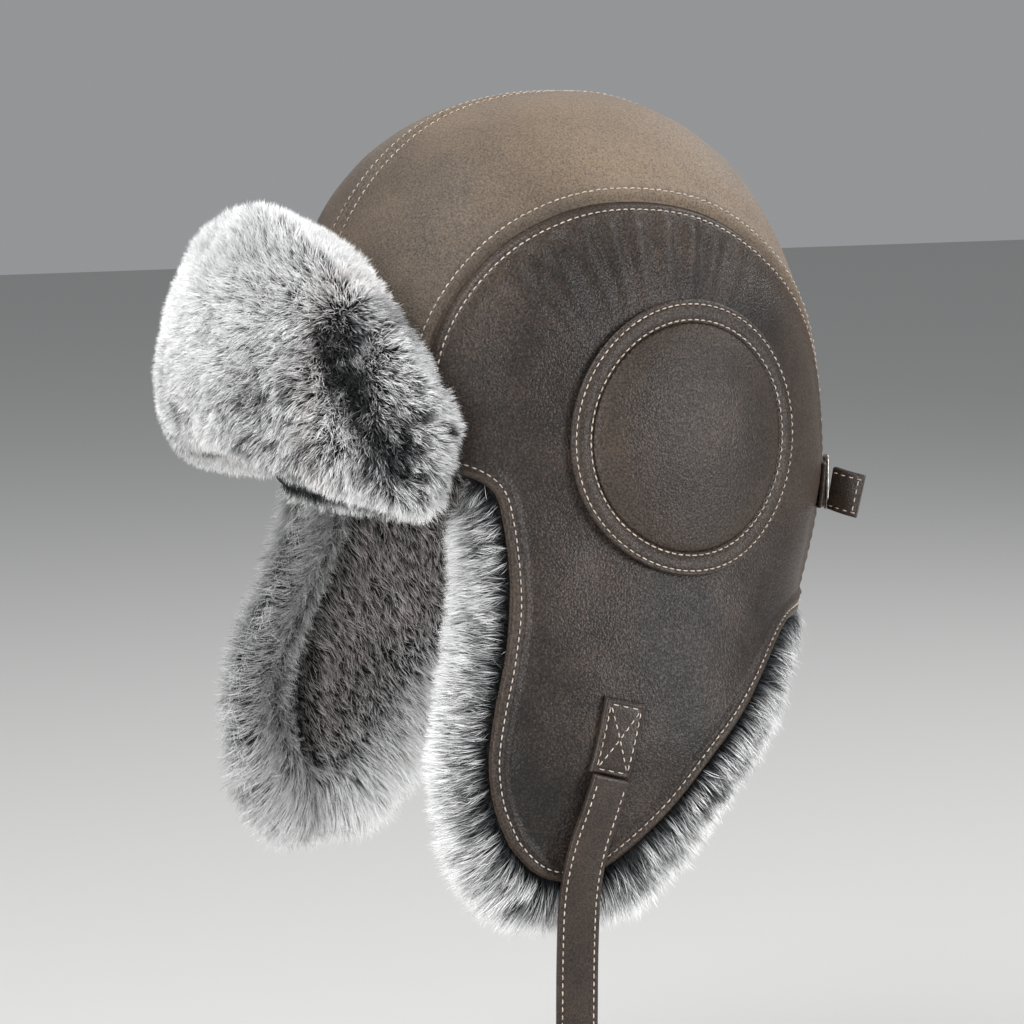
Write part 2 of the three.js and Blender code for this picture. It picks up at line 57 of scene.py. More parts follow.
# ---- Driving dimensions, mm: the same head form and pattern lines as the solids ----
FRONT, BACK, SIDE, TOP = 118.0, 108.0, 92.0, 151.0
PLAN_POWER = 2.3
FOREHEAD_POWER, CROWN_BACK_POWER = 2.45, 2.2
NAPE_TAKE_IN, NAPE_DEPTH, FLAP_TAKE_IN = 16.0, 65.0, 6.0
FLARE, FLARE_DEPTH, FLARE_RIGHT, FORWARD_RIGHT = 21.0, 110.0, 14.0, 9.0

LEATHER = 1.4
LINING_TOP = -LEATHER - 1.1
RIM_Z, FOLD_Z = 14.0, -58.0
PATCH_Y, PATCH_Z, PATCH_RADIUS, PAD_RADIUS, PAD_RISE = 6.0, 20.0, 52.5, 44.2, 7.0
CROWN_PADDING = 6.0
STRAP_WIDTH, STRAP_THICKNESS, STRAP_HINGE_Z = 16.5, 2.6, -106.0
STRAP_LEAN, BOX_LENGTH, BOX_FOOT = math.radians(15), 29.0, (-39.2, -104.3)
LONG_STRAP, STRAP_HOLES, HOLE_PITCH, POINT = 183.0, 5, 14.0, 14.0
BAR, BAR_RADIUS, FRAME_WIDE, FRAME_HIGH, WIRE = np.array([108.4, -41.0, -129.0]), 1.1, 26.0, 19.0, 2.2
ADJUSTER_Z, ADJUSTER_WIDTH, RING_ANGLE = -8.0, 18.0, 66.0
SNAP_Z = 62.0
STITCH_PITCH, STITCH_LENGTH, THREAD_RADIUS = 3.1, 2.4, 0.28  # upholstery thread, 8 to the inch
ARCH_LENGTH = 430.0  # of the arched seam, for the spacing of its gathers
FIRST_HOLE, HOLE_RADIUS = 24.0, 1.7  # from the point of the long strap
FLOOR_Z = -330.0
STITCH_POINTS, HAIR_POINTS = 30, 7  # vertices of one stitch and of one hair


# ---- The head form ----
def smoothstep(x, low, high):
    t = np.clip((x - low) / (high - low), 0.0, 1.0)
    return t * t * (3 - 2 * t)


def half_lengths(z):
    down = np.maximum(-z, 0.0)
    nape = NAPE_TAKE_IN * np.minimum(1.0, down / NAPE_DEPTH) ** 1.5
    return BACK - nape, SIDE - FLAP_TAKE_IN * (down / 100) ** 2


def dome_power(y):
    return FOREHEAD_POWER + (CROWN_BACK_POWER - FOREHEAD_POWER) * smoothstep(y, -60, 60)


def narrowing(y, z):
    """How much the dome has drawn in at height z: 1 at the forehead, 0 at the top."""
    power = dome_power(y)
    share = np.clip(z / TOP, 0.0, 1.0)
    return (1 - share**power) ** (1 / power)


def level(p):
    """1 on the outside of the hat, less inside it and more outside it."""
    x, y, z = p[..., 0], p[..., 1], p[..., 2]
    back, side = half_lengths(z)
    along = np.abs(y) / np.where(y < 0, FRONT, back)
    plan = (along**PLAN_POWER + (np.abs(x) / side) ** PLAN_POWER) ** (1 / PLAN_POWER)
    power = dome_power(y)
    high = (plan**power + np.maximum(z / TOP, 0) ** power) ** (1 / power)
    return np.where(z > 0, high, plan)


def unit(p):
    return p / np.linalg.norm(p, axis=-1, keepdims=True)


def outward(p):
    step = 0.01
    slopes = []
    for axis in range(3):
        nudge = np.zeros(3)
        nudge[axis] = step
        slopes.append(level(p + nudge) - level(p - nudge))
    return unit(np.stack(slopes, -1))


def on_head(p):
    for _ in range(20):
        p = p / level(p)[..., None]
    return p


def from_side(y, z):
    """The point on the wearer's left at this y and z."""
    y, z = np.broadcast_arrays(np.asarray(y, float), np.asarray(z, float))
    back, side = half_lengths(z)
    dome = narrowing(y, z)
    reach = np.minimum(np.abs(y) / (np.where(y < 0, FRONT, back) * dome), 1)
    x = side * dome * (1 - reach**PLAN_POWER) ** (1 / PLAN_POWER)
    return np.stack([x, y, z], -1)


def from_angle(degrees, z):
    """The point in a plan direction: 0 is the left ear, 90 the back, -90 the forehead."""
    degrees, z = np.broadcast_arrays(np.asarray(degrees, float), np.asarray(z, float))
    turn = np.radians(degrees)
    x, y = 80 * np.cos(turn), 80 * np.sin(turn)
    back, side = half_lengths(z)
    for _ in range(20):
        along = np.abs(y) / np.where(y < 0, FRONT, back)
        plan = (along**PLAN_POWER + (np.abs(x) / side) ** PLAN_POWER) ** (1 / PLAN_POWER)
        share = narrowing(y, z) / plan
        x, y = x * share, y * share
    return np.stack([x, y, z], -1)


def flared(p, amount=FLARE):
    """Below the forehead the stiff fur spreads the sides, less towards the nape."""
    p = np.array(p, float)
    spread = amount * smoothstep(-p[..., 2], 0, FLARE_DEPTH)
    spread = spread * (1 - smoothstep(p[..., 1], 10, 85))
    p[..., 0] += spread * np.clip(p[..., 0] / 50, -1, 1)
    return p


def lifted(base, height):
    """Points `height` mm outside the head form, with the flare."""
    height = np.asarray(height, float)
    return flared(base + outward(base) * height[..., None])


def right_shift(y, z):
    """How much further forward than the left a point of the right flap hangs."""
    return FORWARD_RIGHT * smoothstep(-z, 20, FLARE_DEPTH) * (1 - smoothstep(y, 20, 75))


def to_side(p, side):
    """The wearer's left as made, or the right: mirrored, and hanging wider and forward."""
    if side == "left":
        return p
    p = p * np.array([-1.0, 1.0, 1.0])
    p[..., 1] -= right_shift(p[..., 1], p[..., 2])
    return flared(p, FLARE_RIGHT)


# ---- Lines and patches ----
def spline(points, samples=240):
    """A smooth line through the points, as many samples evenly spread along the parameter."""
    p = np.asarray(points, float)
    p = np.vstack([2 * p[0] - p[1], p, 2 * p[-1] - p[-2]])
    t = np.linspace(0, len(p) - 3, samples)
    i = np.minimum(t.astype(int), len(p) - 4)
    f = (t - i)[:, None]
    a, b, c, d = p[i], p[i + 1], p[i + 2], p[i + 3]
    return 0.5 * (
        2 * b + (c - a) * f + (2 * a - 5 * b + 4 * c - d) * f**2 + (3 * b - a - 3 * c + d) * f**3
    )


def at(line, t):
    """Points at shares t of a sampled line."""
    t = np.clip(np.asarray(t, float), 0, 1) * (len(line) - 1)
    i = np.minimum(t.astype(int), len(line) - 2)
    f = (t - i)[..., None]
    return line[i] * (1 - f) + line[i + 1] * f


def resampled(line, step):
    """The same line with its points `step` mm apart."""
    gone = np.concatenate([[0], np.cumsum(np.linalg.norm(np.diff(line, axis=0), axis=1))])
    count = max(2, int(round(gone[-1] / step)) + 1)
    even = np.linspace(0, gone[-1], count)
    return np.stack([np.interp(even, gone, line[:, k]) for k in range(3)], -1)


def patch(bottom, top, left, right, u, v):
    """A patch filled in between four edge lines."""
    u, v = np.asarray(u)[..., None], np.asarray(v)[..., None]
    b, t = at(bottom, u[..., 0]), at(top, u[..., 0])
    le, r = at(left, v[..., 0]), at(right, v[..., 0])
    corners = (
        bottom[0] * (1 - u) * (1 - v) + bottom[-1] * u * (1 - v)
        + top[0] * (1 - u) * v + top[-1] * u * v
    )
    return b * (1 - v) + t * v + le * (1 - u) + r * u - corners


def spread(count, fine, share=0.06):
    """Shares 0 to 1, with `fine` of the steps packed in the first and last `share`."""
    ends = np.linspace(0, share, fine + 1)
    middle = np.linspace(share, 1 - share, count - 2 * fine)[1:-1]
    return np.concatenate([ends, middle, 1 - ends[::-1]])


# The arched seam between crown and side, from the temple over the ear to the neck edge.
ARCH = spline([
    (62, -96, RIM_Z), (60, -91, 57), (64.5, -70.5, 89), (68.7, -38.4, 106.7), (69.8, -6, 110.5),
    (69, 26, 104.5), (66, 56, 87.5), (59, 77, 66), (52.4, 90.5, 40), (48, 93, -10),
    (43, 86, FOLD_Z),
], 600)
BACK_SEAM = 0.8


def side_lines(grow=0.0):
    """The edges of a side with its ear flap, grown past the cut edge of the leather."""
    g = grow
    corner = (-74 - g * 0.8, -131 - g * 0.6)
    front = [
        corner, (-80 - g, -115 - g * 0.2), (-82 - g, -98), (-79.5 - g, -80), (-74 - g, FOLD_Z),
        (-70 - g, -36), (-70.5 - g * 0.8, -10), (-76 - g * 0.4, 5), (-96, RIM_Z),
    ]
    below = [
        corner, (-65 - g * 0.4, -141.5 - g), (-55, -146 - g), (-45 + g * 0.2, -145 - g),
        (-34 + g * 0.4, -140 - g), (-12 + g * 0.6, -122 - g * 0.8), (11 + g * 0.7, -97 - g * 0.7),
        (37 + g * 0.6, -74 - g * 0.75), (59, FOLD_Z - g * 0.9),
    ]
    front = np.array([from_side(y, z) for y, z in front])
    front[-1] = ARCH[0]
    below = [from_side(y, z) for y, z in below]
    below += [from_angle(57.0, FOLD_Z - g * 0.95), from_angle(63.4, FOLD_Z - g)]
    tail = ARCH[int(BACK_SEAM * (len(ARCH) - 1)):][::-1].copy()
    tail[0] = below[-1]
    back = tail if g == 0 else np.vstack([[below[-1]], tail[8:]])
    return {
        "front": spline(front, 500),
        "below": spline(below, 700),
        "top": ARCH[: int(BACK_SEAM * (len(ARCH) - 1)) + 1],
        "back": resampled(back, 1.0),
    }


def side_patch(lines, u, v):
    flat = patch(lines["below"], lines["top"], lines["front"], lines["back"], u, v)
    return on_head(flat)


def crown_patch(s, t):
    """Half of the crown, from the arch (t 0) to the centre seam (t 1)."""
    edge = at(ARCH, s)
    edge = edge * np.stack([1 - t, np.ones_like(t), np.ones_like(t)], -1)
    return on_head(edge)


# ---- Mesh making ----
def grid_faces(rows, columns, first=0, turned=False):
    index = np.arange(rows * columns).reshape(rows, columns) + first
    quads = np.stack(
        [index[:-1, :-1], index[:-1, 1:], index[1:, 1:], index[1:, :-1]], -1
    ).reshape(-1, 4)
    return quads[:, ::-1] if turned else quads


def mesh_piece(name, points, quads, triangles=()):
    """A new object from points in mm. `place` keeps where each point was cut, in mm."""
    points = np.asarray(points, float).reshape(-1, 3)
    quads = np.asarray(quads, np.int32).reshape(-1, 4)
    triangles = np.asarray(triangles, np.int32).reshape(-1, 3)
    mesh = bpy.data.meshes.new(name)
    mesh.vertices.add(len(points))
    mesh.vertices.foreach_set("co", (points * MM).astype(np.float32).ravel())
    corners = np.concatenate([quads.ravel(), triangles.ravel()]).astype(np.int32)
    starts = np.concatenate(
        [np.arange(len(quads)) * 4, len(quads) * 4 + np.arange(len(triangles)) * 3]
    ).astype(np.int32)
    mesh.loops.add(len(corners))
    mesh.loops.foreach_set("vertex_index", corners)
    mesh.polygons.add(len(starts))
    mesh.polygons.foreach_set("loop_start", starts)
    mesh.polygons.foreach_set("use_smooth", np.full(len(starts), True))
    mesh.update(calc_edges=True)
    keep(mesh, "place", points)
    made = bpy.data.objects.new(name, mesh)
    bpy.context.scene.collection.objects.link(made)
    return made


def of_vertices(mesh, field="co"):
    """The places or the normals of a mesh's vertices, as they are stored."""
    values = np.empty(len(mesh.vertices) * 3, np.float32)
    mesh.vertices.foreach_get(field, values)
    return values.reshape(-1, 3).astype(float)


def keep_place(mesh):
    """Stores `place` again, for a mesh whose vertices have changed."""
    for name in ("place", "wear_and_painted_light"):
        if name in mesh.attributes:
            mesh.attributes.remove(mesh.attributes[name])
    keep(mesh, "place", of_vertices(mesh) / MM)


def keep(mesh, name, values):
    """Stores a number or a vector per point, for a material to read."""
    values = np.asarray(values, np.float32)
    kind, field = ("FLOAT_VECTOR", "vector") if values.ndim == 2 else ("FLOAT", "value")
    layer = mesh.attributes.new(name, kind, "POINT")
    layer.data.foreach_set(field, values.ravel())


def rub(piece, amount):
    """Rubs a whole leather piece by the same amount."""
    keep(piece.data, "wear_and_painted_light", np.full(len(piece.data.vertices), amount))


def shell_faces(rows, columns):
    """Quads of a closed sheet: an outer grid, an inner grid after it, and the rim."""
    count = rows * columns
    index = np.arange(count).reshape(rows, columns)
    ring = np.concatenate(
        [index[0, :-1], index[:-1, -1], index[-1, :0:-1], index[:0:-1, 0]]
    )
    after = np.roll(ring, -1)
    rim = np.stack([ring, ring + count, after + count, after], -1)
    outer = grid_faces(rows, columns)
    inner = grid_faces(rows, columns, count, turned=True)
    return np.vstack([outer, inner, rim])


def loop_faces(rows, columns):
    """Quads of a grid that is joined up both ways."""
    index = np.arange(rows * columns).reshape(rows, columns)
    right, down = np.roll(index, -1, axis=1), np.roll(index, -1, axis=0)
    return np.stack([index, right, np.roll(right, -1, axis=0), down], -1).reshape(-1, 4)


def outwards(points, quads):
    """The quads, turned over if they make an inside-out solid."""
    a, b, c, d = (points[quads[:, k]] for k in range(4))
    volume = np.einsum("ij,ij->i", a, np.cross(b, c)) + np.einsum(
        "ij,ij->i", a, np.cross(c, d)
    )
    return quads if volume.sum() > 0 else quads[:, ::-1]


def shell(name, outer, inner, side="left"):
    """A closed sheet between two grids of points."""
    rows, columns = outer.shape[:2]
    points = np.vstack([outer.reshape(-1, 3), inner.reshape(-1, 3)])
    points = to_side(points, side)
    return mesh_piece(name, points, outwards(points, shell_faces(rows, columns)))


def wave(p, size, seed=0.0, octaves=1):
    """Smooth noise from -1 to 1 that changes over `size` mm."""
    flat = (np.asarray(p, float) / size + seed).reshape(-1, 3)
    if octaves == 1:
        made = [noise.noise(Vector(q)) for q in flat]
    else:
        made = [noise.fractal(Vector(q), 1.0, 2.0, octaves) for q in flat]
    return np.array(made).reshape(np.shape(p)[:-1])


def nearest(p, line):
    """For each point, the distance to a line and the share of the line it is nearest."""
    tree = KDTree(len(line))
    for i, q in enumerate(line):
        tree.insert(Vector(q), i)
    tree.balance()
    flat = np.asarray(p, float).reshape(-1, 3)
    found = [tree.find(Vector(q)) for q in flat]
    away = np.array([f[2] for f in found]).reshape(np.shape(p)[:-1])
    share = np.array([f[1] for f in found]).reshape(np.shape(p)[:-1]) / (len(line) - 1)
    return away, share


# ---- Materials ----
def colour(hex_code):
    """An sRGB hex value as linear red, green, blue and alpha."""
    channels = [int(hex_code[i : i + 2], 16) / 255 for i in (1, 3, 5)]
    return [
        *(c / 12.92 if c <= 0.04045 else ((c + 0.055) / 1.055) ** 2.4 for c in channels), 1.0
    ]


def add(material, kind, inputs=None, **settings):
    """Adds a node with its settings, and sets or links its inputs."""
    made = material.node_tree.nodes.new("ShaderNode" + kind)
    for name, value in settings.items():
        setattr(made, name, value)
    for name, value in (inputs or {}).items():
        if isinstance(value, bpy.types.NodeSocket):
            material.node_tree.links.new(value, made.inputs[name])
        else:
            made.inputs[name].default_value = value
    return made


def new_material(name):
    made = bpy.data.materials.new(name)
    made.use_nodes = True
    made.node_tree.nodes.clear()
    return made


def ramp(material, factor, *stops):
    """A colour ramp with stops of (place, hex colour)."""
    made = add(material, "ValToRGB", {"Fac": factor})
    elements = made.color_ramp.elements
    while len(elements) < len(stops):
        elements.new(0.5)
    for element, (place, code) in zip(elements, stops):
        element.position = place
        element.color = colour(code)
    return made.outputs["Color"]


def surface(material, shader):
    add(material, "OutputMaterial", {"Surface": shader.outputs["BSDF"]})
    return material


def leather(name, stops, wear_and_painted_light_colour, patch_mm, grain_mm, grain_depth, roughness, sheen=0.0):
    """Polyurethane on a cloth backing, embossed with a grain, then given a rubbing by hand.

    The eye gets pores about a millimetre across whose pits stay dark, a faintly cloudy colour
    that the rubbing left, and a lighter colour mixed in where seams and edges stand proud. On
    the side and crown leather the amount mixed in also carries painted light and painted shade.
    """
    made = new_material(name)
    place = add(made, "Attribute", attribute_name="place").outputs["Vector"]
    wear_and_painted_light = add(made, "Attribute", attribute_name="wear_and_painted_light").outputs["Fac"]
    clouds = add(
        made, "TexNoise",
        {"Vector": place, "Scale": 1 / patch_mm, "Detail": 5.0, "Roughness": 0.6},
    ).outputs["Fac"]
    flecks = add(
        made, "TexNoise",
        {"Vector": place, "Scale": 1 / grain_mm, "Detail": 2.5, "Roughness": 0.65},
    ).outputs["Fac"]
    tone = add(
        made, "Math", {0: clouds, 1: 0.55, 2: flecks}, operation="MULTIPLY_ADD"
    ).outputs[0]
    base = ramp(made, tone, *stops)
    wear_and_painted_light_mix = add(
        made, "MapRange",
        {"Value": flecks, "From Min": 0.36, "From Max": 0.62, "To Min": 0.35, "To Max": 1.0},
    ).outputs["Result"]
    wear_and_painted_light_mix = add(
        made, "Math", {0: wear_and_painted_light, 1: wear_and_painted_light_mix}, operation="MULTIPLY", use_clamp=True
    ).outputs[0]
    # mixes in the lighter colour: rubbing, and on the side and crown leather also painted light and
    # painted shade
    base = add(
        made, "Mix", {"Factor": wear_and_painted_light_mix, "A": base, "B": colour(wear_and_painted_light_colour)}, data_type="RGBA"
    ).outputs["Result"]
    pores = add(
        made, "TexVoronoi", {"Vector": place, "Scale": 1 / grain_mm, "Randomness": 1.0},
        feature="F1",
    ).outputs["Distance"]
    height = add(
        made, "Math", {0: pores, 1: -1.3, 2: flecks}, operation="MULTIPLY_ADD"
    ).outputs[0]
    creases = add(
        made, "TexNoise", {"Vector": place, "Scale": 1 / (grain_mm * 7), "Detail": 4.0}
    ).outputs["Fac"]
    height = add(
        made, "Math", {0: creases, 1: 1.2, 2: height}, operation="MULTIPLY_ADD"
    ).outputs[0]
    bump = add(
        made, "Bump", {"Height": height, "Strength": 0.7, "Distance": grain_depth * MM}
    ).outputs["Normal"]
    gloss = add(
        made, "MapRange",
        {"Value": flecks, "From Min": 0.35, "From Max": 0.65, "To Min": roughness + 0.12,
         "To Max": roughness - 0.05},
    ).outputs["Result"]
    shader = add(
        made, "BsdfPrincipled",
        {"Base Color": base, "Roughness": gloss, "Normal": bump, "IOR": 1.5,
         "Specular IOR Level": 0.32, "Sheen Weight": sheen, "Sheen Roughness": 0.5},
    )
    return surface(made, shader)


# the last colour is mixed in for rubbing, and as painted light and a painted highlight
SIDE_LEATHER = leather(
    "embossed brown leather",
    ((0.62, "#090706"), (0.73, "#1c1714"), (0.83, "#2b2420"), (0.96, "#42362e")),
    "#4d4036", 38, 0.9, 0.22, 0.4,
)
# the last colour, a tan, is mixed in for rubbing, and as painted light on the top and back
CROWN_LEATHER = leather(
    "buffed tan leather",
    ((0.56, "#2f2822"), (0.68, "#41382f"), (0.82, "#50453a"), (1.0, "#625445")),
    "#7d6b58", 48, 0.8, 0.14, 0.58, sheen=0.1,
)
STRAP_LEATHER = leather(
    "smooth strap leather",
    ((0.58, "#100d0c"), (0.7, "#1f1916"), (0.84, "#2c2420"), (1.0, "#3f342c")),
    "#4c3f35", 14, 0.8, 0.1, 0.36,
)


def pile():
    """Modacrylic pile, dyed black and then frosted: each hair is black at the root and white
    at the tip. The attribute that runs up each hair holds the frosting, raised and lowered in
    places as painted highlight and painted shade, and `blush` marks the pinker, thinner pile.
    """
    made = new_material("frosted modacrylic pile")
    frost_and_painted_light = add(made, "Attribute", attribute_name="frost_and_painted_light").outputs["Fac"]
    blush = add(made, "Attribute", attribute_name="blush").outputs["Fac"]
    grey = ramp(
        made, frost_and_painted_light, (0.0, "#121416"), (0.34, "#26292b"), (0.55, "#8b8b8c"), (0.75, "#d9d9d9"),
        (1.0, "#f5f5f5"),
    )
    pink = ramp(
        made, frost_and_painted_light, (0.0, "#1d1b1c"), (0.34, "#474041"), (0.6, "#948b8a"), (0.85, "#c4bab8"),
        (1.0, "#dcd2d0"),
    )
    base = add(
        made, "Mix", {"Factor": blush, "A": grey, "B": pink}, data_type="RGBA"
    ).outputs["Result"]
    shader = add(
        made, "BsdfPrincipled",
        {"Base Color": base, "Roughness": 0.6, "IOR": 1.5, "Specular IOR Level": 0.3,
         "Sheen Weight": 0.15, "Sheen Roughness": 0.4},
    )
    return surface(made, shader)


FROSTED_HAIR = pile()


def knitted_backing():
    """The knitted ground that the pile grows from: dark, matt, and fuzzy with short fibres."""
    made = new_material("knitted pile ground")
    place = add(made, "Attribute", attribute_name="place").outputs["Vector"]
    fuzz = add(
        made, "TexNoise", {"Vector": place, "Scale": 1 / 1.8, "Detail": 4.0, "Roughness": 0.7}
    ).outputs["Fac"]
    base = ramp(made, fuzz, (0.3, "#0f1011"), (0.75, "#3a3a3c"))
    bump = add(made, "Bump", {"Height": fuzz, "Strength": 1.0, "Distance": 1.2 * MM})
    shader = add(
        made, "BsdfPrincipled",
        {"Base Color": base, "Roughness": 0.95, "Normal": bump.outputs["Normal"],
         "Specular IOR Level": 0.1},
    )
    return surface(made, shader)


PILE_GROUND = knitted_backing()


def spun_thread():
    """Bonded nylon sewing thread, off-white: two plies, a low shine."""
    made = new_material("off-white sewing thread")
    place = add(made, "Attribute", attribute_name="place").outputs["Vector"]
    plies = add(made, "TexNoise", {"Vector": place, "Scale": 1 / 2.5, "Detail": 2.0})
    base = ramp(made, plies.outputs["Fac"], (0.3, "#93867b"), (0.7, "#c6b9ac"))
    shader = add(
        made, "BsdfPrincipled", {"Base Color": base, "Roughness": 0.55, "Sheen Weight": 0.1}
    )
    return surface(made, shader)


THREAD = spun_thread()


def quilted_satin():
    """Black polyester lining satin: fine threads that catch the light one way."""
    made = new_material("quilted lining satin")
    place = add(made, "Attribute", attribute_name="place").outputs["Vector"]
    threads = add(
        made, "TexWave", {"Vector": place, "Scale": 1.0, "Distortion": 1.5, "Detail": 2.0}
    )
    base = ramp(made, threads.outputs["Fac"], (0.2, "#17181b"), (0.8, "#26282c"))
    bump = add(made, "Bump", {
        "Height": threads.outputs["Fac"], "Strength": 0.3, "Distance": 0.1 * MM,
    })
    shader = add(
        made, "BsdfPrincipled",
        {"Base Color": base, "Roughness": 0.38, "Normal": bump.outputs["Normal"],
         "Sheen Weight": 0.3},
    )
    return surface(made, shader)


LINING_SATIN = quilted_satin()


def plated_zinc():
    """Die-cast zinc with a satin nickel plate: pale metal, softly blurred reflections."""
    made = new_material("satin nickel plate")
    place = add(made, "Attribute", attribute_name="place").outputs["Vector"]
    cloud = add(made, "TexNoise", {"Vector": place, "Scale": 1 / 3, "Detail": 3.0})
    base = ramp(made, cloud.outputs["Fac"], (0.3, "#8e8a84"), (0.7, "#b9b5ad"))
    gloss = add(
        made, "MapRange", {"Value": cloud.outputs["Fac"], "To Min": 0.22, "To Max": 0.42}
    )
    shader = add(
        made, "BsdfPrincipled",
        {"Base Color": base, "Metallic": 1.0, "Roughness": gloss.outputs["Result"]},
    )
    return surface(made, shader)


NICKEL = plated_zinc()


def dress(piece, material, body=None, blend=None, stands_for=()):
    """Gives a piece its material and what it rides on, or with a blend only bakes in its place, and
    hides the parts it stands for.
    """
    piece.data.materials.append(material)
    if blend:
        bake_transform(piece)
    else:
        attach(piece, body)
    if stands_for:
        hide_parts(*stands_for)
    return piece


NAPE_START, NAPE_TOP = 46.0, -40.0  # the fold of a flap ends at this y, below this height


def split_off(piece, behind):
    """Moves the faces whose points are all behind to a new piece."""
    back = piece.data.copy()
    behind = list(behind)
    for mesh, goes in ((piece.data, True), (back, False)):
        work = bmesh.new()
        work.from_mesh(mesh)
        gone = [f for f in work.faces if all(behind[v.index] for v in f.verts) == goes]
        bmesh.ops.delete(work, geom=gone, context="FACES")
        work.to_mesh(mesh)
        work.free()
    made = bpy.data.objects.new(piece.name + "_nape", back)
    bpy.context.scene.collection.objects.link(made)
    return made


def dress_fold(piece, material, side, stands_for=(), points_each=1):
    """Dresses a piece that crosses the fold, with its place baked in. Its part behind the fold rides
    on the crown.
    """
    own = own_place(of_vertices(piece.data) / MM, side)
    behind = (own[:, 1] > NAPE_START) & (own[:, 2] < NAPE_TOP)
    behind = np.repeat(behind[::points_each], points_each)
    if behind.any() and not behind.all():
        dress(split_off(piece, behind), material, body="crown")
    return dress(piece, material, blend=FOLD_BLEND[side], stands_for=stands_for)


# ---- Stitching ----
def stitches(line, normals):
    """Thread on the surface: a row of short bent strands, each sunk in at both ends."""
    gone = np.concatenate([[0], np.cumsum(np.linalg.norm(np.diff(line, axis=0), axis=1))])
    count = max(1, int(gone[-1] / STITCH_PITCH))
    centre = (np.arange(count) + 0.5) * gone[-1] / count
    steps = np.array([-0.5, -0.3, 0.0, 0.3, 0.5])
    sunk = np.array([-0.45, 0.12, 0.3, 0.12, -0.45])
    width = np.array([0.35, 0.9, 1.0, 0.9, 0.35]) * THREAD_RADIUS
    turns = np.radians(np.arange(6) * 60)
    where = np.clip(centre[:, None] + steps * STITCH_LENGTH, 0, gone[-1])

    def read(values):
        return np.stack([np.interp(where, gone, values[:, k]) for k in range(3)], -1)

    p, n = read(line), unit(read(normals))
    run = np.gradient(p, axis=1)
    run /= np.linalg.norm(run, axis=-1, keepdims=True) + 1e-9
    across = np.cross(run, n)
    core = p + n * sunk[:, None]
    ring = core[:, :, None] + width[:, None, None] * (
        np.cos(turns)[:, None] * across[:, :, None] + np.sin(turns)[:, None] * n[:, :, None]
    )
    points = ring.reshape(-1, 3)
    one = np.arange(STITCH_POINTS).reshape(5, 6)
    right = np.roll(one, -1, axis=1)
    sides = np.stack([one[:-1], right[:-1], right[1:], one[1:]], -1).reshape(-1, 4)
    ends = np.array([
        [0, 5, 4, 3], [0, 3, 2, 1], [24, 25, 26, 27], [24, 27, 28, 29],
    ])
    faces = np.vstack([sides, ends])
    quads = (faces[None] + (np.arange(count) * STITCH_POINTS)[:, None, None]).reshape(-1, 4)
    return points, quads


def sewn(name, rows, body=None, fold=None, side="left"):
    """One piece of thread from several rows of (line, normals)."""
    points, quads, first = [], [], 0
    for line, normals in rows:
        p, q = stitches(line, normals)
        points.append(p)
        quads.append(q + first)
        first += len(p)
    points = to_side(np.vstack(points), side)
    quads = np.vstack(quads)
    if side == "right":
        quads = quads[:, ::-1]
    piece = mesh_piece(name, points, quads)
    if fold:
        return dress_fold(piece, THREAD, fold, points_each=STITCH_POINTS)
    return dress(piece, THREAD, body)


def inset(line, distance, towards):
    """A line on the head form `distance` mm in from an edge line, on the side of `towards`."""
    line = resampled(line, 1.0)
    inward = np.cross(outward(line), unit(np.gradient(line, axis=0)))
    if np.sum(inward * (np.asarray(towards) - line)) < 0:
        inward = -inward
    moved = on_head(line + inward * distance)
    for _ in range(3):  # takes the kinks out of a line that has been drawn in round a corner
        moved[1:-1] = (moved[:-2] + moved[1:-1] * 2 + moved[2:]) / 4
    return resampled(on_head(moved), 0.8)


# ---- Crown and sides ----
FOLD_BLEND = {
    "left": ("crown", "ear_flap_left", (0.1, 0, -0.052), (0.1, 0, -0.070)),
    "right": ("crown", "ear_flap_right", (-0.1, 0, -0.052), (-0.1, 0, -0.070)),
}
LEATHER_LINES = side_lines()
FREE_EDGE = resampled(
    np.vstack([LEATHER_LINES["front"][::-1], LEATHER_LINES["below"][1:]]), 0.6
)
ARCH_FINE = resampled(ARCH, 0.6)
CENTRE_LINE = resampled(crown_patch(np.linspace(0, 1, 400), np.full(400, 0.9999)), 0.8)


def side_height(base):
    """How far the side leather stands off the head form: hem, seam, gathers and dents."""
    edge, _ = nearest(base, FREE_EDGE)
    arch, share = nearest(base, ARCH_FINE)
    hem = 1.3 * smoothstep(-edge, -8.5, -5.5) * smoothstep(edge, -0.3, 1.6)
    groove = -0.55 * np.exp(-(((edge - 4.0) / 0.9) ** 2))
    seam = -1.5 * np.exp(-((arch / 1.6) ** 2)) + 0.9 * np.exp(-(((arch - 4.5) / 3.2) ** 2))
    row = -0.45 * np.exp(-(((arch - 4.2) / 0.8) ** 2))
    along = share * ARCH_LENGTH
    middle = smoothstep(share, 0.14, 0.28) * (1 - smoothstep(share, 0.46, 0.6))
    beat = along / 15.0 * 2 * math.pi + 2.2 * wave(base, 26, 3.1)
    gather = middle * np.sin(beat) * np.exp(-((arch / 30) ** 2)) * smoothstep(arch, 3, 13) * 1.3
    small = 0.15 * np.sin(along / 5.2 * 2 * math.pi) * np.exp(-(((arch - 5.5) / 3) ** 2))
    dents = 2.0 * wave(base, 46, 7.7) + 0.7 * wave(base, 20, 1.3)
    calm = smoothstep(edge, 2, 14) * smoothstep(arch, 2, 14)
    return hem + groove + seam + row + gather + small + dents * calm


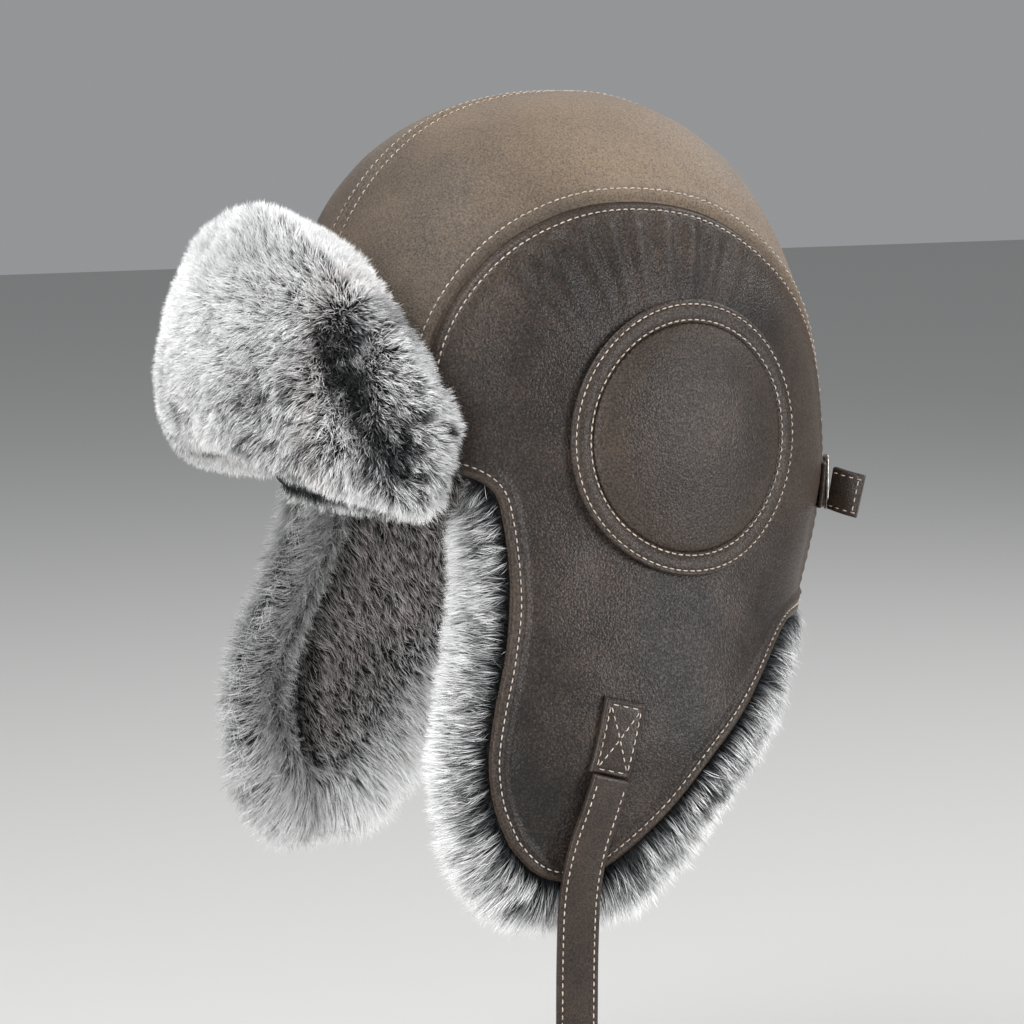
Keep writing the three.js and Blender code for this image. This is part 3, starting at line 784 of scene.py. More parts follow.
def side_wear_and_painted_light(base):
    """Where the side leather is lighter: partly rubbing by hands and folds, partly painted light, on
    the back of the side and in a band under the arch seam where the light falls, and a painted
    highlight along the proud hem.
    """
    edge, _ = nearest(base, FREE_EDGE)
    arch, _ = nearest(base, ARCH_FINE)
    # lighter towards the back: rubbing, and painted light where the light falls
    back = smoothstep(base[..., 1], 30, 90) * 0.75
    # lighter along the proud hem: rubbing, and a painted highlight
    hem = np.exp(-((edge / 3.0) ** 2)) * 0.8
    # lighter in a band under the arch seam: rubbing, and a painted sheen
    return np.clip(back + hem + 0.45 * np.exp(-((arch / 14) ** 2)), 0, 1)


def make_side(side):
    u, v = np.meshgrid(spread(170, 16, 0.05), spread(210, 16, 0.045))
    base = side_patch(LEATHER_LINES, u, v)
    height = side_height(base)
    outer = lifted(base, height)
    inner = lifted(base, np.minimum(height - LEATHER, -LEATHER * 0.6))
    piece = shell(f"side_leather_{side}", outer, inner, side)
    # rubbing, with painted light and a painted highlight on the side
    wear_and_painted_light = side_wear_and_painted_light(base).ravel()
    keep(piece.data, "wear_and_painted_light", np.concatenate([wear_and_painted_light, wear_and_painted_light]))
    dress_fold(
        piece, SIDE_LEATHER, side,
        stands_for=(f"side_panel_{side}", f"flap_leather_{side}"),
    )
    centre = from_side(0.0, -30.0)
    edge = inset(FREE_EDGE, 4.0, centre)
    edge = edge[6:-2]
    rows = [(lifted(edge, side_height(edge) + 0.1), outward(edge))]
    top = inset(LEATHER_LINES["top"], 4.2, from_side(6.0, 20.0))
    rows.append((lifted(top, side_height(top) + 0.1), outward(top)))
    sewn(f"side_stitching_{side}", rows, fold=side, side=side)


def crown_height(base):
    arch, share = nearest(base, ARCH_FINE)
    middle, _ = nearest(base, CENTRE_LINE)
    seam = -1.6 * np.exp(-((arch / 1.7) ** 2)) + 0.9 * np.exp(-(((arch - 4.8) / 3.4) ** 2))
    row = -0.4 * np.exp(-(((arch - 5.0) / 0.8) ** 2))
    spine = -1.3 * np.exp(-((middle / 1.4) ** 2)) + 0.5 * np.exp(-(((middle - 4) / 2.6) ** 2))
    spine_row = -0.35 * np.exp(-(((middle - 4.2) / 0.8) ** 2))
    small = 0.25 * np.sin(share * ARCH_LENGTH / 6.1 * 2 * math.pi) * np.exp(-(((arch - 6) / 3.5) ** 2))
    dents = 1.7 * wave(base, 52, 4.4) + 0.45 * wave(base, 19, 9.2)
    calm = smoothstep(arch, 2, 16) * smoothstep(middle, 2, 14)
    return seam + row + spine + spine_row + small + dents * calm


def crown_wear_and_painted_light(base):
    """Lighter tan towards the top and back, darker brown over the forehead and along the arch seam:
    partly rubbing and mottle, partly painted light on the top and back where the light from above
    falls, and painted shade behind the turned-up visor and in the seam.
    """
    arch, _ = nearest(base, ARCH_FINE)
    # lighter towards the top and back, darker over the forehead: partly rubbing, partly painted light
    # from above and painted shade behind the turned-up visor
    front = smoothstep(base[..., 1] + 0.9 * base[..., 2], 10, 120)
    # painted shade along the arch seam
    seams = 0.25 * np.exp(-((arch / 9) ** 2))
    return np.clip(0.12 + 0.83 * front + 0.28 * wave(base, 30, 2.0, 2) - seams, 0, 1)


def make_crown(side):
    t, s = np.meshgrid(spread(70, 14, 0.09), spread(240, 6, 0.02))
    base = crown_patch(s, t * 0.9985 + 0.0005)
    height = crown_height(base)
    outer = lifted(base, height)
    inner = lifted(base, np.minimum(height - LEATHER, -LEATHER * 0.6))
    piece = shell(f"crown_leather_{side}", outer, inner, side)
    # rubbing, with painted light and painted shade on the crown
    wear_and_painted_light = crown_wear_and_painted_light(base).ravel()
    keep(piece.data, "wear_and_painted_light", np.concatenate([wear_and_painted_light, wear_and_painted_light]))
    dress(
        piece, CROWN_LEATHER, body="crown",
        stands_for=(f"crown_panel_{side}",),
    )
    arch = inset(ARCH, 5.0, (0.0, 0.0, 140.0))
    spine = inset(CENTRE_LINE, 4.2, (60.0, 0.0, 60.0))
    rows = [
        (lifted(line, crown_height(line) + 0.1), outward(line)) for line in (arch, spine)
    ]
    sewn(f"crown_stitching_{side}", rows, body="crown", side=side)


# ---- Ear patch ----
def turned(profile, count=180):
    """Points of a profile of (radius, height) turned about the ear patch's centre."""
    radius, height = np.array(profile, float).T
    turn = np.linspace(0, 2 * math.pi, count, endpoint=False)
    y = PATCH_Y + radius * np.cos(turn)[:, None]
    z = PATCH_Z + radius * np.sin(turn)[:, None]
    base = from_side(y, z)
    return base, np.broadcast_to(height, y.shape)


def ring_piece(name, profile, side, extra=None):
    """A closed turned piece: the profile is a loop."""
    base, height = turned(profile)
    if extra is not None:
        height = height + extra(base)
    points = to_side(lifted(base, height).reshape(-1, 3), side)
    quads = loop_faces(*base.shape[:2])
    return mesh_piece(name, points, outwards(points, quads)), base


def make_ear_patch(side):
    edge = [(PATCH_RADIUS - 1.2 + 1.2 * math.sin(a), 1.5 + 1.1 * math.cos(math.pi - a))
            for a in np.linspace(math.pi, 0, 9)]
    top = [(51.1, 2.5), (50.8, 2.25), (50.5, 2.15), (50.1, 2.4), (49.4, 2.8), (47.4, 2.8),
           (46.2, 2.5), (45.6, 2.15), (45.0, 1.8), (44.2, 1.5), (43.6, 1.1), (43.4, 0.5)]
    profile = edge + top + [(44.5, 0.3), (48.0, 0.3)]
    ring, base = ring_piece(f"ear_ring_leather_{side}", profile, side)
    rub(ring, 0.35)
    dress(
        ring, SIDE_LEATHER, body="crown", stands_for=(f"ear_ring_{side}",)
    )
    share = np.linspace(0.0, 1.0, 44) ** 0.8
    share = np.concatenate([[0.0004, 0.004], share[1:]])
    radius = share * (PAD_RADIUS - 0.6)
    dome = 1.4 + (PAD_RISE - 1.2) * (1 - share**2.4) ** 0.72
    profile = list(zip(radius, np.full(len(radius), 0.5)))
    profile += list(zip(radius[::-1], dome[::-1]))
    dents = lambda p: 0.5 * wave(p, 24, 5.5)
    pad, base = ring_piece(f"ear_pad_leather_{side}", profile, side, extra=dents)
    keep(pad.data, "wear_and_painted_light", 0.25 + 0.2 * smoothstep(
        np.broadcast_to([p[0] for p in profile], base.shape[:2]), 25, 44).ravel())
    dress(
        pad, SIDE_LEATHER, body="crown",
        stands_for=(f"ear_pad_{side}", f"ear_foam_{side}"),
    )
    rows = []
    for circle, high in ((50.5, 2.35), (44.7, 1.9)):
        base, _ = turned([(circle, high)], 360)
        line = np.vstack([base[:, 0], base[:1, 0]])
        rows.append((lifted(line, np.full(len(line), high)), outward(line)))
    sewn(f"ear_patch_stitching_{side}", rows, body="crown", side=side)


# ---- Fur ----
def pad_grid(base, middle, half, rim):
    """Outer and inner grids of a pad with round edges, on a grid of head-form points."""
    rows, columns = base.shape[:2]
    edge = np.ones((rows, columns), bool)
    edge[1:-1, 1:-1] = False
    away, _ = nearest(base, base[edge])
    near = np.clip(away / rim, 0, 1)
    thick = half * np.sqrt(np.maximum(1 - (1 - near) ** 2, 0.0005))
    return lifted(base, middle + thick), lifted(base, middle - thick)


def grow_fur(name, piece, count, comb, lean, length, frost_and_painted_light, where, seed, blush=None,
             body=None, fold=None, parts=1, clump_mm=2.7, pull=0.32, width=0.25,
             mottle=0.13):
    """Hair on the surface of a piece, as narrow tapering ribbons, in one or more pieces.

    All but the counts are functions of the roots: comb gives the way the pile is brushed,
    lean how far it lies down, length its length, frost how white it is, painted highlight and
    painted shade included, blush how pink, and where(points, normals) how thickly it grows.
    """
    draw = np.random.default_rng(seed)
    mesh = piece.data
    co, vn = of_vertices(mesh) / MM, of_vertices(mesh, "normal")
    mesh.calc_loop_triangles()
    tri = np.empty(len(mesh.loop_triangles) * 3, np.int32)
    mesh.loop_triangles.foreach_get("vertices", tri)
    tri = tri.reshape(-1, 3)
    a, b, c = co[tri[:, 0]], co[tri[:, 1]], co[tri[:, 2]]
    area = np.linalg.norm(np.cross(b - a, c - a), axis=1) / 2
    chance = area * where((a + b + c) / 3, vn[tri].mean(axis=1))
    pick = draw.choice(len(tri), size=count, p=chance / chance.sum())
    r1, r2 = np.sqrt(draw.random(count))[:, None], draw.random(count)[:, None]
    weights = np.hstack([1 - r1, r1 * (1 - r2), r1 * r2])
    root = np.einsum("ik,ikj->ij", weights, co[tri[pick]])
    normal = np.einsum("ik,ikj->ij", weights, vn[tri[pick]])
    normal /= np.linalg.norm(normal, axis=1, keepdims=True) + 1e-9
    root = root - normal * 0.4

    brush = comb(root)
    brush = brush - normal * np.sum(brush * normal, axis=1, keepdims=True)
    jitter = draw.normal(size=(count, 3))
    long = length(root) * (0.82 + 0.26 * draw.random(count)) * (1 + 0.08 * wave(root, 14, seed))
    lie = lean(root)[:, None]
    way = normal * (1 - lie) + brush * lie + jitter * 0.2
    way /= np.linalg.norm(way, axis=1, keepdims=True)
    tip = root + way * long[:, None]

    grown = area[chance > 0].sum()
    chosen = np.nonzero(draw.random(count) < min(1, grown / clump_mm**2 / count))[0]
    tree = KDTree(len(chosen))
    for i in chosen:
        tree.insert(Vector(root[i]), int(i))
    tree.balance()
    leader = np.array([tree.find(Vector(p))[1] for p in root])
    tuft = draw.normal(size=count)[leader] * mottle
    together = pull * (0.4 + 1.2 * draw.random(count))[:, None]
    same = np.sum(normal * normal[leader], axis=1, keepdims=True) > 0.6
    tip = np.where(same, tip * (1 - together) + tip[leader] * together, tip)

    bend = root + normal * (long * 0.42)[:, None] + way * (long * 0.14)[:, None]
    t = np.array([0.0, 0.45, 0.8, 1.0])[:, None]
    spine = (
        root[:, None] * (1 - t) ** 2 + bend[:, None] * 2 * t * (1 - t) + tip[:, None] * t**2
    )
    run = tip - root
    run /= np.linalg.norm(run, axis=1, keepdims=True) + 1e-9
    across = np.cross(run, normal + jitter * 0.55)
    across /= np.linalg.norm(across, axis=1, keepdims=True) + 1e-9
    half = across * (width * (0.7 + 0.6 * draw.random(count)))[:, None] / 2
    points = [
        spine[:, k] + sign * half * share
        for k, share in enumerate((1.0, 0.9, 0.65)) for sign in (-1, 1)
    ]
    points = np.stack(points + [spine[:, 3]], 1)
    white = np.clip(frost_and_painted_light(root, normal) + tuft + draw.normal(size=count) * 0.12, 0.12, 1.5)
    climb = np.clip(np.array([0.02, 0.02, 0.5, 0.5, 0.86, 0.86, 1.0]) * white[:, None], 0, 1)
    pink = blush(root) if blush else np.zeros(count)
    for part, chosen in enumerate(np.array_split(np.argsort(root[:, 2]), parts)):
        first = (np.arange(len(chosen)) * HAIR_POINTS)[:, None]
        quads = np.concatenate([first + [0, 1, 3, 2], first + [2, 3, 5, 4]])
        hair = mesh_piece(
            f"{name}_{part + 1}" if parts > 1 else name,
            points[chosen], quads, first + [4, 5, 6],
        )
        keep(hair.data, "frost_and_painted_light", climb[chosen].ravel())
        keep(hair.data, "blush", np.repeat(pink[chosen], HAIR_POINTS))
        if fold:
            dress_fold(hair, FROSTED_HAIR, fold, points_each=HAIR_POINTS)
        else:
            dress(hair, FROSTED_HAIR, body)


LINING_SEAM = -60.0  # y of the seam between the facing strip and the panel of a flap's lining


def own_place(p, side):
    """Final points of the right side, as places on the pattern of the left."""
    q = np.array(p)
    if side == "right":
        q[:, 0] *= -1
        q[:, 1] += right_shift(q[:, 1], q[:, 2])
    return q


def past_edge(p, line, inside):
    """How far points are past an edge line (less than 0 inside it), and which way is out."""
    _, share = nearest(p, line)
    k = np.rint(share * (len(line) - 1)).astype(int)
    out = np.cross(np.gradient(line, axis=0)[k], outward(p))
    out /= np.linalg.norm(out, axis=1, keepdims=True) + 1e-9
    out *= np.sign(np.sum(out * (line[k] - inside), axis=1, keepdims=True))
    return np.sum((p - line[k]) * out, axis=1), out


def make_side_fur(side):
    """The fur lining of a side and its ear flap, one pelt across the fold."""
    lines = side_lines(12.5 if side == "left" else 15.5)
    u, v = np.meshgrid(spread(110, 12, 0.08), spread(100, 14, 0.1))
    base = side_patch(lines, u, v * 0.972)
    outer, inner = pad_grid(base, LINING_TOP - 4.0, 3.7, rim=7.0)
    groove = 5.5 * np.exp(-(((base[..., 1] - LINING_SEAM) / 2.6) ** 2))
    groove *= 1 - smoothstep(base[..., 2], 0, 20)
    depth = np.minimum(groove, np.linalg.norm(outer - inner, axis=-1) * 0.7)
    inner += (outer - inner) / (np.linalg.norm(outer - inner, axis=-1, keepdims=True) + 1e-6) \
        * depth[..., None]
    pelt = shell(f"side_pelt_{side}", outer, inner, side)
    edge = to_side(flared(FREE_EDGE), side)
    inside = to_side(from_side(0.0, -30.0), side)

    def comb(p):
        """Outwards past the leather; inside, down and away from the lining's seam."""
        q = own_place(p, side)
        past, out = past_edge(p, edge, inside)
        off = q[:, 1] - LINING_SEAM
        way = -outward(p) * 0.6
        way[:, 2] -= 0.9
        way[:, 1] += np.sign(off) * 1.6 * np.exp(-np.abs(off) / 6) * (q[:, 2] < 12)
        way[:, 1] += 0.35 * np.tanh((q[:, 1] + 10) / 40) + 0.3 * wave(p, 26, 2.2)
        skirt = smoothstep(past, -7, 1)[:, None]
        swirl = np.stack([wave(p, 17, seed) for seed in (1.4, 4.2, 8.3)], -1)
        return way * (1 - skirt * 0.8) + out * skirt * 1.3 + 0.35 * swirl

    def by_strap(q, past):
        """Where the chin strap lies on the fur and presses it flat."""
        return np.exp(-(((q[:, 1] + 50) / 10) ** 2)) * (past > -2) * (q[:, 2] < -120)

    def lean(p):
        past, _ = past_edge(p, edge, inside)
        pressed = by_strap(own_place(p, side), past)
        return 0.34 + 0.22 * smoothstep(past, -2, 3) + 0.3 * pressed

    def length(p):
        q = own_place(p, side)
        past, _ = past_edge(p, edge, inside)
        back = smoothstep(q[:, 1], -20, 30) * (1 - smoothstep(q[:, 2], -75, -45))
        low = 1 - smoothstep(q[:, 2], -140, -115)
        edge_length = 13.5 + 2 * back + 5 * low + (2.0 if side == "right" else 0)
        long = 8.5 + (edge_length - 8.5) * smoothstep(past, -10, 3)
        seam = np.exp(-(((q[:, 1] - LINING_SEAM) / 4.5) ** 2)) * (past < -6)
        return long * (1 - 0.5 * seam) * (1 - 0.25 * by_strap(q, past))

    def where(p, n):
        """None where the pelt is sewn flat to the leather or hidden up in the crown."""
        q = own_place(p, side)
        past, _ = past_edge(p, edge, inside)
        facing = np.sum(n * outward(p), axis=1)
        covered = (past < -0.5) & (facing > -0.25)
        front_high = (q[:, 2] > 7) & (q[:, 1] < -50) & (facing > -0.7)
        wanted = np.where(past > -6, 1.9, 1.0) * (1 - 0.8 * smoothstep(q[:, 2], 20, 50))
        in_seam = (np.abs(q[:, 1] - LINING_SEAM) < 1.0) & (past < -8) & (q[:, 2] < 12)
        return np.where(covered | front_high | in_seam, 0.0, wanted)

    def frost_and_painted_light(p, n):
        q = own_place(p, side)
        past, _ = past_edge(p, edge, inside)
        patches = wave(p, 12, 6.6, 2)
        off = q[:, 1] - LINING_SEAM
        tufts = smoothstep(wave(p, 5.0, 3.9), 0.0, 0.55) * smoothstep(patches, -0.35, 0.3)
        # painted shade: the outward-facing fur next to the leather's edge is made less white, and
        # whiter again out towards its outline
        shade_by_leather = smoothstep(past, -8, 0) * smoothstep(np.sum(n * outward(p), 1), -0.4, 0.4)
        tone = 1.28 - 0.5 * shade_by_leather + 0.36 * smoothstep(past, 4, 12) * shade_by_leather
        tone += 0.2 * patches - 0.46 * tufts
        # painted highlight on the ridge of pile beside the lining seam, and in the seam's crease
        # painted shade over the dark roots of the parted pile
        ridge = np.exp(-(((off - 5) / 3.5) ** 2)) * (q[:, 2] < 10) * (past < -6)
        crease = np.exp(-((off / 2.2) ** 2)) * (past < -6)
        return tone + 0.3 * ridge - 0.7 * crease

    def blush(p):
        q = own_place(p, side)
        past, _ = past_edge(p, edge, inside)
        panel = smoothstep(q[:, 1], LINING_SEAM, LINING_SEAM + 4)
        return 0.7 * panel * (1 - smoothstep(past, -24, -6))

    grow_fur(
        f"side_hair_{side}", pelt, 76000, comb, lean, length, frost_and_painted_light, where,
        seed=11 if side == "left" else 12, blush=blush, fold=side, parts=2,
    )
    dress_fold(
        pelt, PILE_GROUND, side,
        stands_for=(f"side_lining_{side}", f"flap_fur_{side}"),
    )


def make_neck_fur():
    """The lining that shows below the neck edge, between the two arch seams."""
    u, v = np.meshgrid(np.linspace(0, 1, 60), np.linspace(0, 1, 20))
    base = from_angle(63 + 54 * u, FOLD_Z - 9 + 22 * v)
    outer, inner = pad_grid(base, LINING_TOP - 4.0, 3.7, rim=5.0)
    pelt = shell("neck_pelt", outer, inner)
    dress(pelt, PILE_GROUND, body="crown", stands_for=("neck_fur",))

    def comb(p):
        way = np.zeros_like(p)
        way[:, 2] = -1
        way[:, 1] = 0.7
        return way

    grow_fur(
        "neck_hair", pelt, 12000, comb, lambda p: np.full(len(p), 0.45),
        lambda p: np.full(len(p), 13.0), lambda p, n: 0.95 + 0.4 * wave(p, 12, 6.6, 2),
        lambda p, n: np.where(np.sum(n * outward(p), axis=1) > 0.35, 0.0, 1.0)
        * np.where(n[:, 2] > 0.5, 0, 1), seed=31, body="crown",
    )


def make_forehead_fur():
    """The fur strip inside the forehead, from the crown's edge to the fold of the visor."""
    u, v = np.meshgrid(np.linspace(0, 1, 80), np.linspace(0, 1, 16))
    base = from_angle(-122 + 64 * u, -4 + 14 * v)
    outer, inner = pad_grid(base, -5.0, 3.4, rim=4.0)
    pelt = shell("forehead_pelt", outer, inner)
    dress(pelt, PILE_GROUND, body="crown", stands_for=("forehead_fur",))
    down = lambda p: np.tile([0.0, 0.0, -1.0], (len(p), 1))
    grow_fur(
        "forehead_hair", pelt, 9000, down, lambda p: np.full(len(p), 0.5),
        lambda p: np.full(len(p), 8.0), lambda p, n: 1.0 + 0.4 * wave(p, 12, 2.6, 2),
        lambda p, n: np.where(np.sum(n * outward(p), axis=1) > 0.2, 0.0, 1.0), seed=32,
        body="crown",
    )


def make_crown_lining(side):
    """Quilted satin over wadding: channels sewn in a diamond pattern 24 mm across."""
    t, s = np.meshgrid(np.linspace(0.015, 0.999, 70), np.linspace(0.0, 0.93, 120))
    base = crown_patch(s, t)
    across = base[..., 0] + base[..., 2] * 0.55
    along = base[..., 1]
    lines = [np.abs(np.sin((along + k * across) * math.pi / 24)) for k in (-1, 1)]
    puff = np.minimum(lines[0], lines[1]) ** 0.45
    outer = lifted(base, np.full(s.shape, LINING_TOP - 0.6))
    inner = lifted(base, LINING_TOP - 1.6 - (CROWN_PADDING - 2.0) * puff)
    piece = shell(f"crown_quilting_{side}", outer, inner, side)
    dress(
        piece, LINING_SATIN, body="crown",
        stands_for=(f"crown_lining_front_{side}", f"crown_lining_back_{side}"),
    )


# ---- Visor ----
VISOR_SPREAD, VISOR_OFF_CROWN, VISOR_PUFF = 42.5, 4.6, 43.0


def visor_base(u, v):
    rounded = np.sign(u) * np.abs(u) ** 0.92
    bottom = 12 - 23 * np.abs(u) ** 1.3
    top = 100 - 90 * np.abs(u) ** 2.3
    return from_angle(-90 + rounded * VISOR_SPREAD, bottom + (top - bottom) * v)


def visor_puff(u, v):
    back = VISOR_OFF_CROWN + LEATHER + 0.4
    round_ = np.sqrt(np.maximum(1 - np.abs(2 * (v * 0.94 + 0.04) - 1) ** 3, 0.02))
    ends = (1 - np.minimum(np.abs(u), 1) ** 5) ** 0.5
    return back + 7 + (VISOR_PUFF - 7) * round_ * (0.18 + 0.82 * ends) * (1 - 0.35 * u * u)


def visor_place(p):
    """Where a point is on the visor: -1 to 1 from right to left temple."""
    turn = np.degrees(np.arctan2(p[:, 0], -p[:, 1])) / VISOR_SPREAD
    return np.sign(turn) * np.abs(turn) ** (1 / 0.92)


def make_visor():
    u, v = np.meshgrid(np.linspace(-1, 1, 110), np.linspace(0.13, 0.88, 60))
    edge = np.minimum(1 - np.abs(u), np.minimum(v - 0.13, 0.88 - v))
    u = u * (0.77 + 0.1 * v)
    base = visor_base(u, v)
    proud = 0.5 * smoothstep(-edge, -0.06, -0.02)
    outer = lifted(base, VISOR_OFF_CROWN + LEATHER)
    inner = lifted(base, VISOR_OFF_CROWN - proud)
    back = shell("visor_leather_back", outer, inner)
    rub(back, 0.3)
    dress(back, SIDE_LEATHER, body="visor", stands_for=("visor_leather",))

    u, v = np.meshgrid(
        np.sin(np.linspace(-1, 1, 120) * math.pi / 2),
        0.5 - 0.5 * np.cos(np.linspace(0, 1, 70) * math.pi),
    )
    u, v = u * (0.8 + 0.08 * v), 0.105 + v * 0.765
    base = visor_base(u, v)
    off_centre = np.abs(u)
    front = visor_puff(u / 0.93, v) - 7.5
    crease = 2.2 * np.exp(-(((off_centre - 0.6) / 0.05) ** 2)) * np.sin(v * math.pi)
    lumps = 2.4 * wave(base, 28, 8.1) + 1.0 * wave(base, 13, 3.3)
    behind = VISOR_OFF_CROWN + LEATHER + 0.6
    front = np.maximum(front - crease + lumps, behind + 1.5)
    pelt = shell("visor_pelt", lifted(base, front), lifted(base, np.full(u.shape, behind)))
    dress(pelt, PILE_GROUND, body="visor", stands_for=("visor_fur",))

    def parting(p):
        """The line along which the pile has parted: signed distance from it, as a share."""
        along = 0.57 + 0.2 * (1 - smoothstep(p[:, 2], 12, 66))
        return np.abs(visor_place(p)) - along

    def comb(p):
        turn = visor_place(p)
        angle = np.radians(turn * VISOR_SPREAD)
        off = parting(p)
        side_way = np.sign(turn) * np.tanh(off / 0.05) * np.exp(-np.abs(off) / 0.16) * 0.9
        side_way += 0.35 * turn
        way = np.zeros_like(p)
        way[:, 0] = side_way * np.cos(angle)
        way[:, 1] = side_way * np.sin(angle)
        way[:, 2] = -0.7 + 1.2 * smoothstep(p[:, 2], 55, 95)
        swirl = np.stack([wave(p, 15, s) for s in (1.1, 5.2, 9.3)], -1)
        return way + 0.8 * swirl

    def where(p, n):
        radial = p[:, :2] / np.linalg.norm(p[:, :2], axis=1, keepdims=True)
        return np.where(np.sum(n[:, :2] * radial, axis=1) < -0.6, 0.0, 1.0)

    def frost_and_painted_light(p, n):
        """Near white, with a black parting, painted shade in a speckled hollow and a few dark tufts.
        """
        turn, z = np.abs(visor_place(p)), p[:, 2]
        patches = wave(p, 13, 4.2, 2)
        parted = np.exp(-((parting(p) / 0.1) ** 2)) * smoothstep(z, 2, 18)
        parted *= 1 - smoothstep(z, 62, 80)
        # painted shade: the pile is less white in a hollow either side of the middle, low down
        shaded_hollow = smoothstep(turn, 0.02, 0.22) * (1 - smoothstep(turn, 0.46, 0.52))
        shaded_hollow *= (1 - smoothstep(z, 36, 74)) * smoothstep(z, 2, 14)
        ridge = np.exp(-(((turn - 0.52) / 0.03) ** 2))
        tufts = smoothstep(wave(p, 5.5, 12.7), 0.0, 0.5)
        low = (1 - smoothstep(z, 34, 66)) * (0.4 + 0.6 * smoothstep(patches, -0.2, 0.3))
        tone = 1.38 + 0.1 * patches + 0.12 * ridge - 0.46 * shaded_hollow - 0.62 * tufts * low
        beyond = smoothstep(parting(p), 0.02, 0.1) * (0.12 + 0.3 * tufts)
        return tone - beyond - (0.95 + 0.5 * wave(p, 6, 7.7)) * parted

    def blush(p):
        turn = np.abs(visor_place(p))
        return 0.4 * np.exp(-(((turn - 0.52) / 0.035) ** 2))

    grow_fur(
        "visor_hair", pelt, 108000, comb, lambda p: 0.3 + 0.1 * wave(p, 20, 3.0),
        lambda p: 9.5 + 1.2 * wave(p, 11, 2.9), frost_and_painted_light, where, seed=21, blush=blush,
        body="visor", parts=3, mottle=0.09,
    )


# ---- Swept pieces: straps, wire and thread-like metal ----
def rounded_rectangle(width, height, corner, steps):
    """Points round a rectangle, each corner a quarter circle in so many steps."""
    points = []
    for quarter, (sx, sy) in enumerate(((1, 1), (-1, 1), (-1, -1), (1, -1))):
        for turn in np.radians(np.linspace(90 * quarter, 90 * quarter + 90, steps + 1)):
            points.append((
                sx * (width / 2 - corner) + corner * math.cos(turn),
                sy * (height / 2 - corner) + corner * math.sin(turn),
            ))
    return np.array(points)


def oblong(width, thickness, corner=0.9):
    """A flat section with rounded edges, as (across, out) points round it."""
    return rounded_rectangle(width, thickness, min(corner, thickness / 2 - 0.01), 4)


def round_section(radius, sides=16):
    turn = np.linspace(0, 2 * math.pi, sides, endpoint=False)
    return np.stack([np.cos(turn), np.sin(turn)], -1) * radius


def sweep(section, centres, across, out, closed=False, scale=None):
    """A solid of a constant section along a line, with flat ends unless it is closed."""
    rings = centres[:, None] + section[None, :, :1] * across[:, None] * (
        1 if scale is None else scale[:, None, None]
    ) + section[None, :, 1:] * out[:, None]
    count, sides = rings.shape[:2]
    quads = loop_faces(count, sides)
    points, triangles = rings.reshape(-1, 3), []
    if not closed:
        quads = quads[:-sides]
        middle = len(points)
        points = np.vstack([points, centres[[0, -1]]])
        last = (count - 1) * sides
        for k in range(sides):
            triangles.append([middle, (k + 1) % sides, k])
            triangles.append([middle + 1, last + k, last + (k + 1) % sides])
    return points, quads, np.array(triangles, int).reshape(-1, 3)


def swept_piece(name, *rest, side="left", **options):
    points, quads, triangles = sweep(*rest, **options)
    points = to_side(points, side)
    a, b, c = (points[quads[:, k]] for k in range(3))
    if np.einsum("ij,ij->i", a, np.cross(b, c)).sum() < 0:
        quads, triangles = quads[:, ::-1], triangles[:, ::-1]
    return mesh_piece(name, points, quads, triangles)


def frame_along(line, towards):
    """Run, across and out directions of a line whose flat side faces `towards`."""
    run = unit(np.gradient(line, axis=0))
    out = unit(towards - run * np.sum(towards * run, axis=1, keepdims=True))
    return run, np.cross(run, out), out


def ring_line(width, height, corner, centre, axis_x, axis_y):
    """A rectangle with rounded corners in the plane of two directions."""
    flat = rounded_rectangle(width, height, corner, 6)
    flat = np.vstack([flat, flat[:1]])
    line = centre + flat[:, :1] * np.asarray(axis_x) + flat[:, 1:] * np.asarray(axis_y)
    return resampled(line, 0.5)[:-1]


def loop_run(line):
    """The directions along a closed line."""
    return unit(np.roll(line, -1, axis=0) - np.roll(line, 1, axis=0))


def wire_ring(line, radius, out):
    """A closed ring of round wire."""
    out = np.broadcast_to(np.asarray(out, float), line.shape)
    across = np.cross(loop_run(line), out)
    return sweep(round_section(radius), line, across, out, closed=True)


# ---- Chin straps ----
def box_place(a, b, height):
    """A point of the sewn box: a across the strap, b up it, and its height off the hat."""
    y = a * math.cos(STRAP_LEAN) + b * math.sin(STRAP_LEAN) + BOX_FOOT[0]
    z = -a * math.sin(STRAP_LEAN) + b * math.cos(STRAP_LEAN) + BOX_FOOT[1]
    return lifted(from_side(y, z), height)


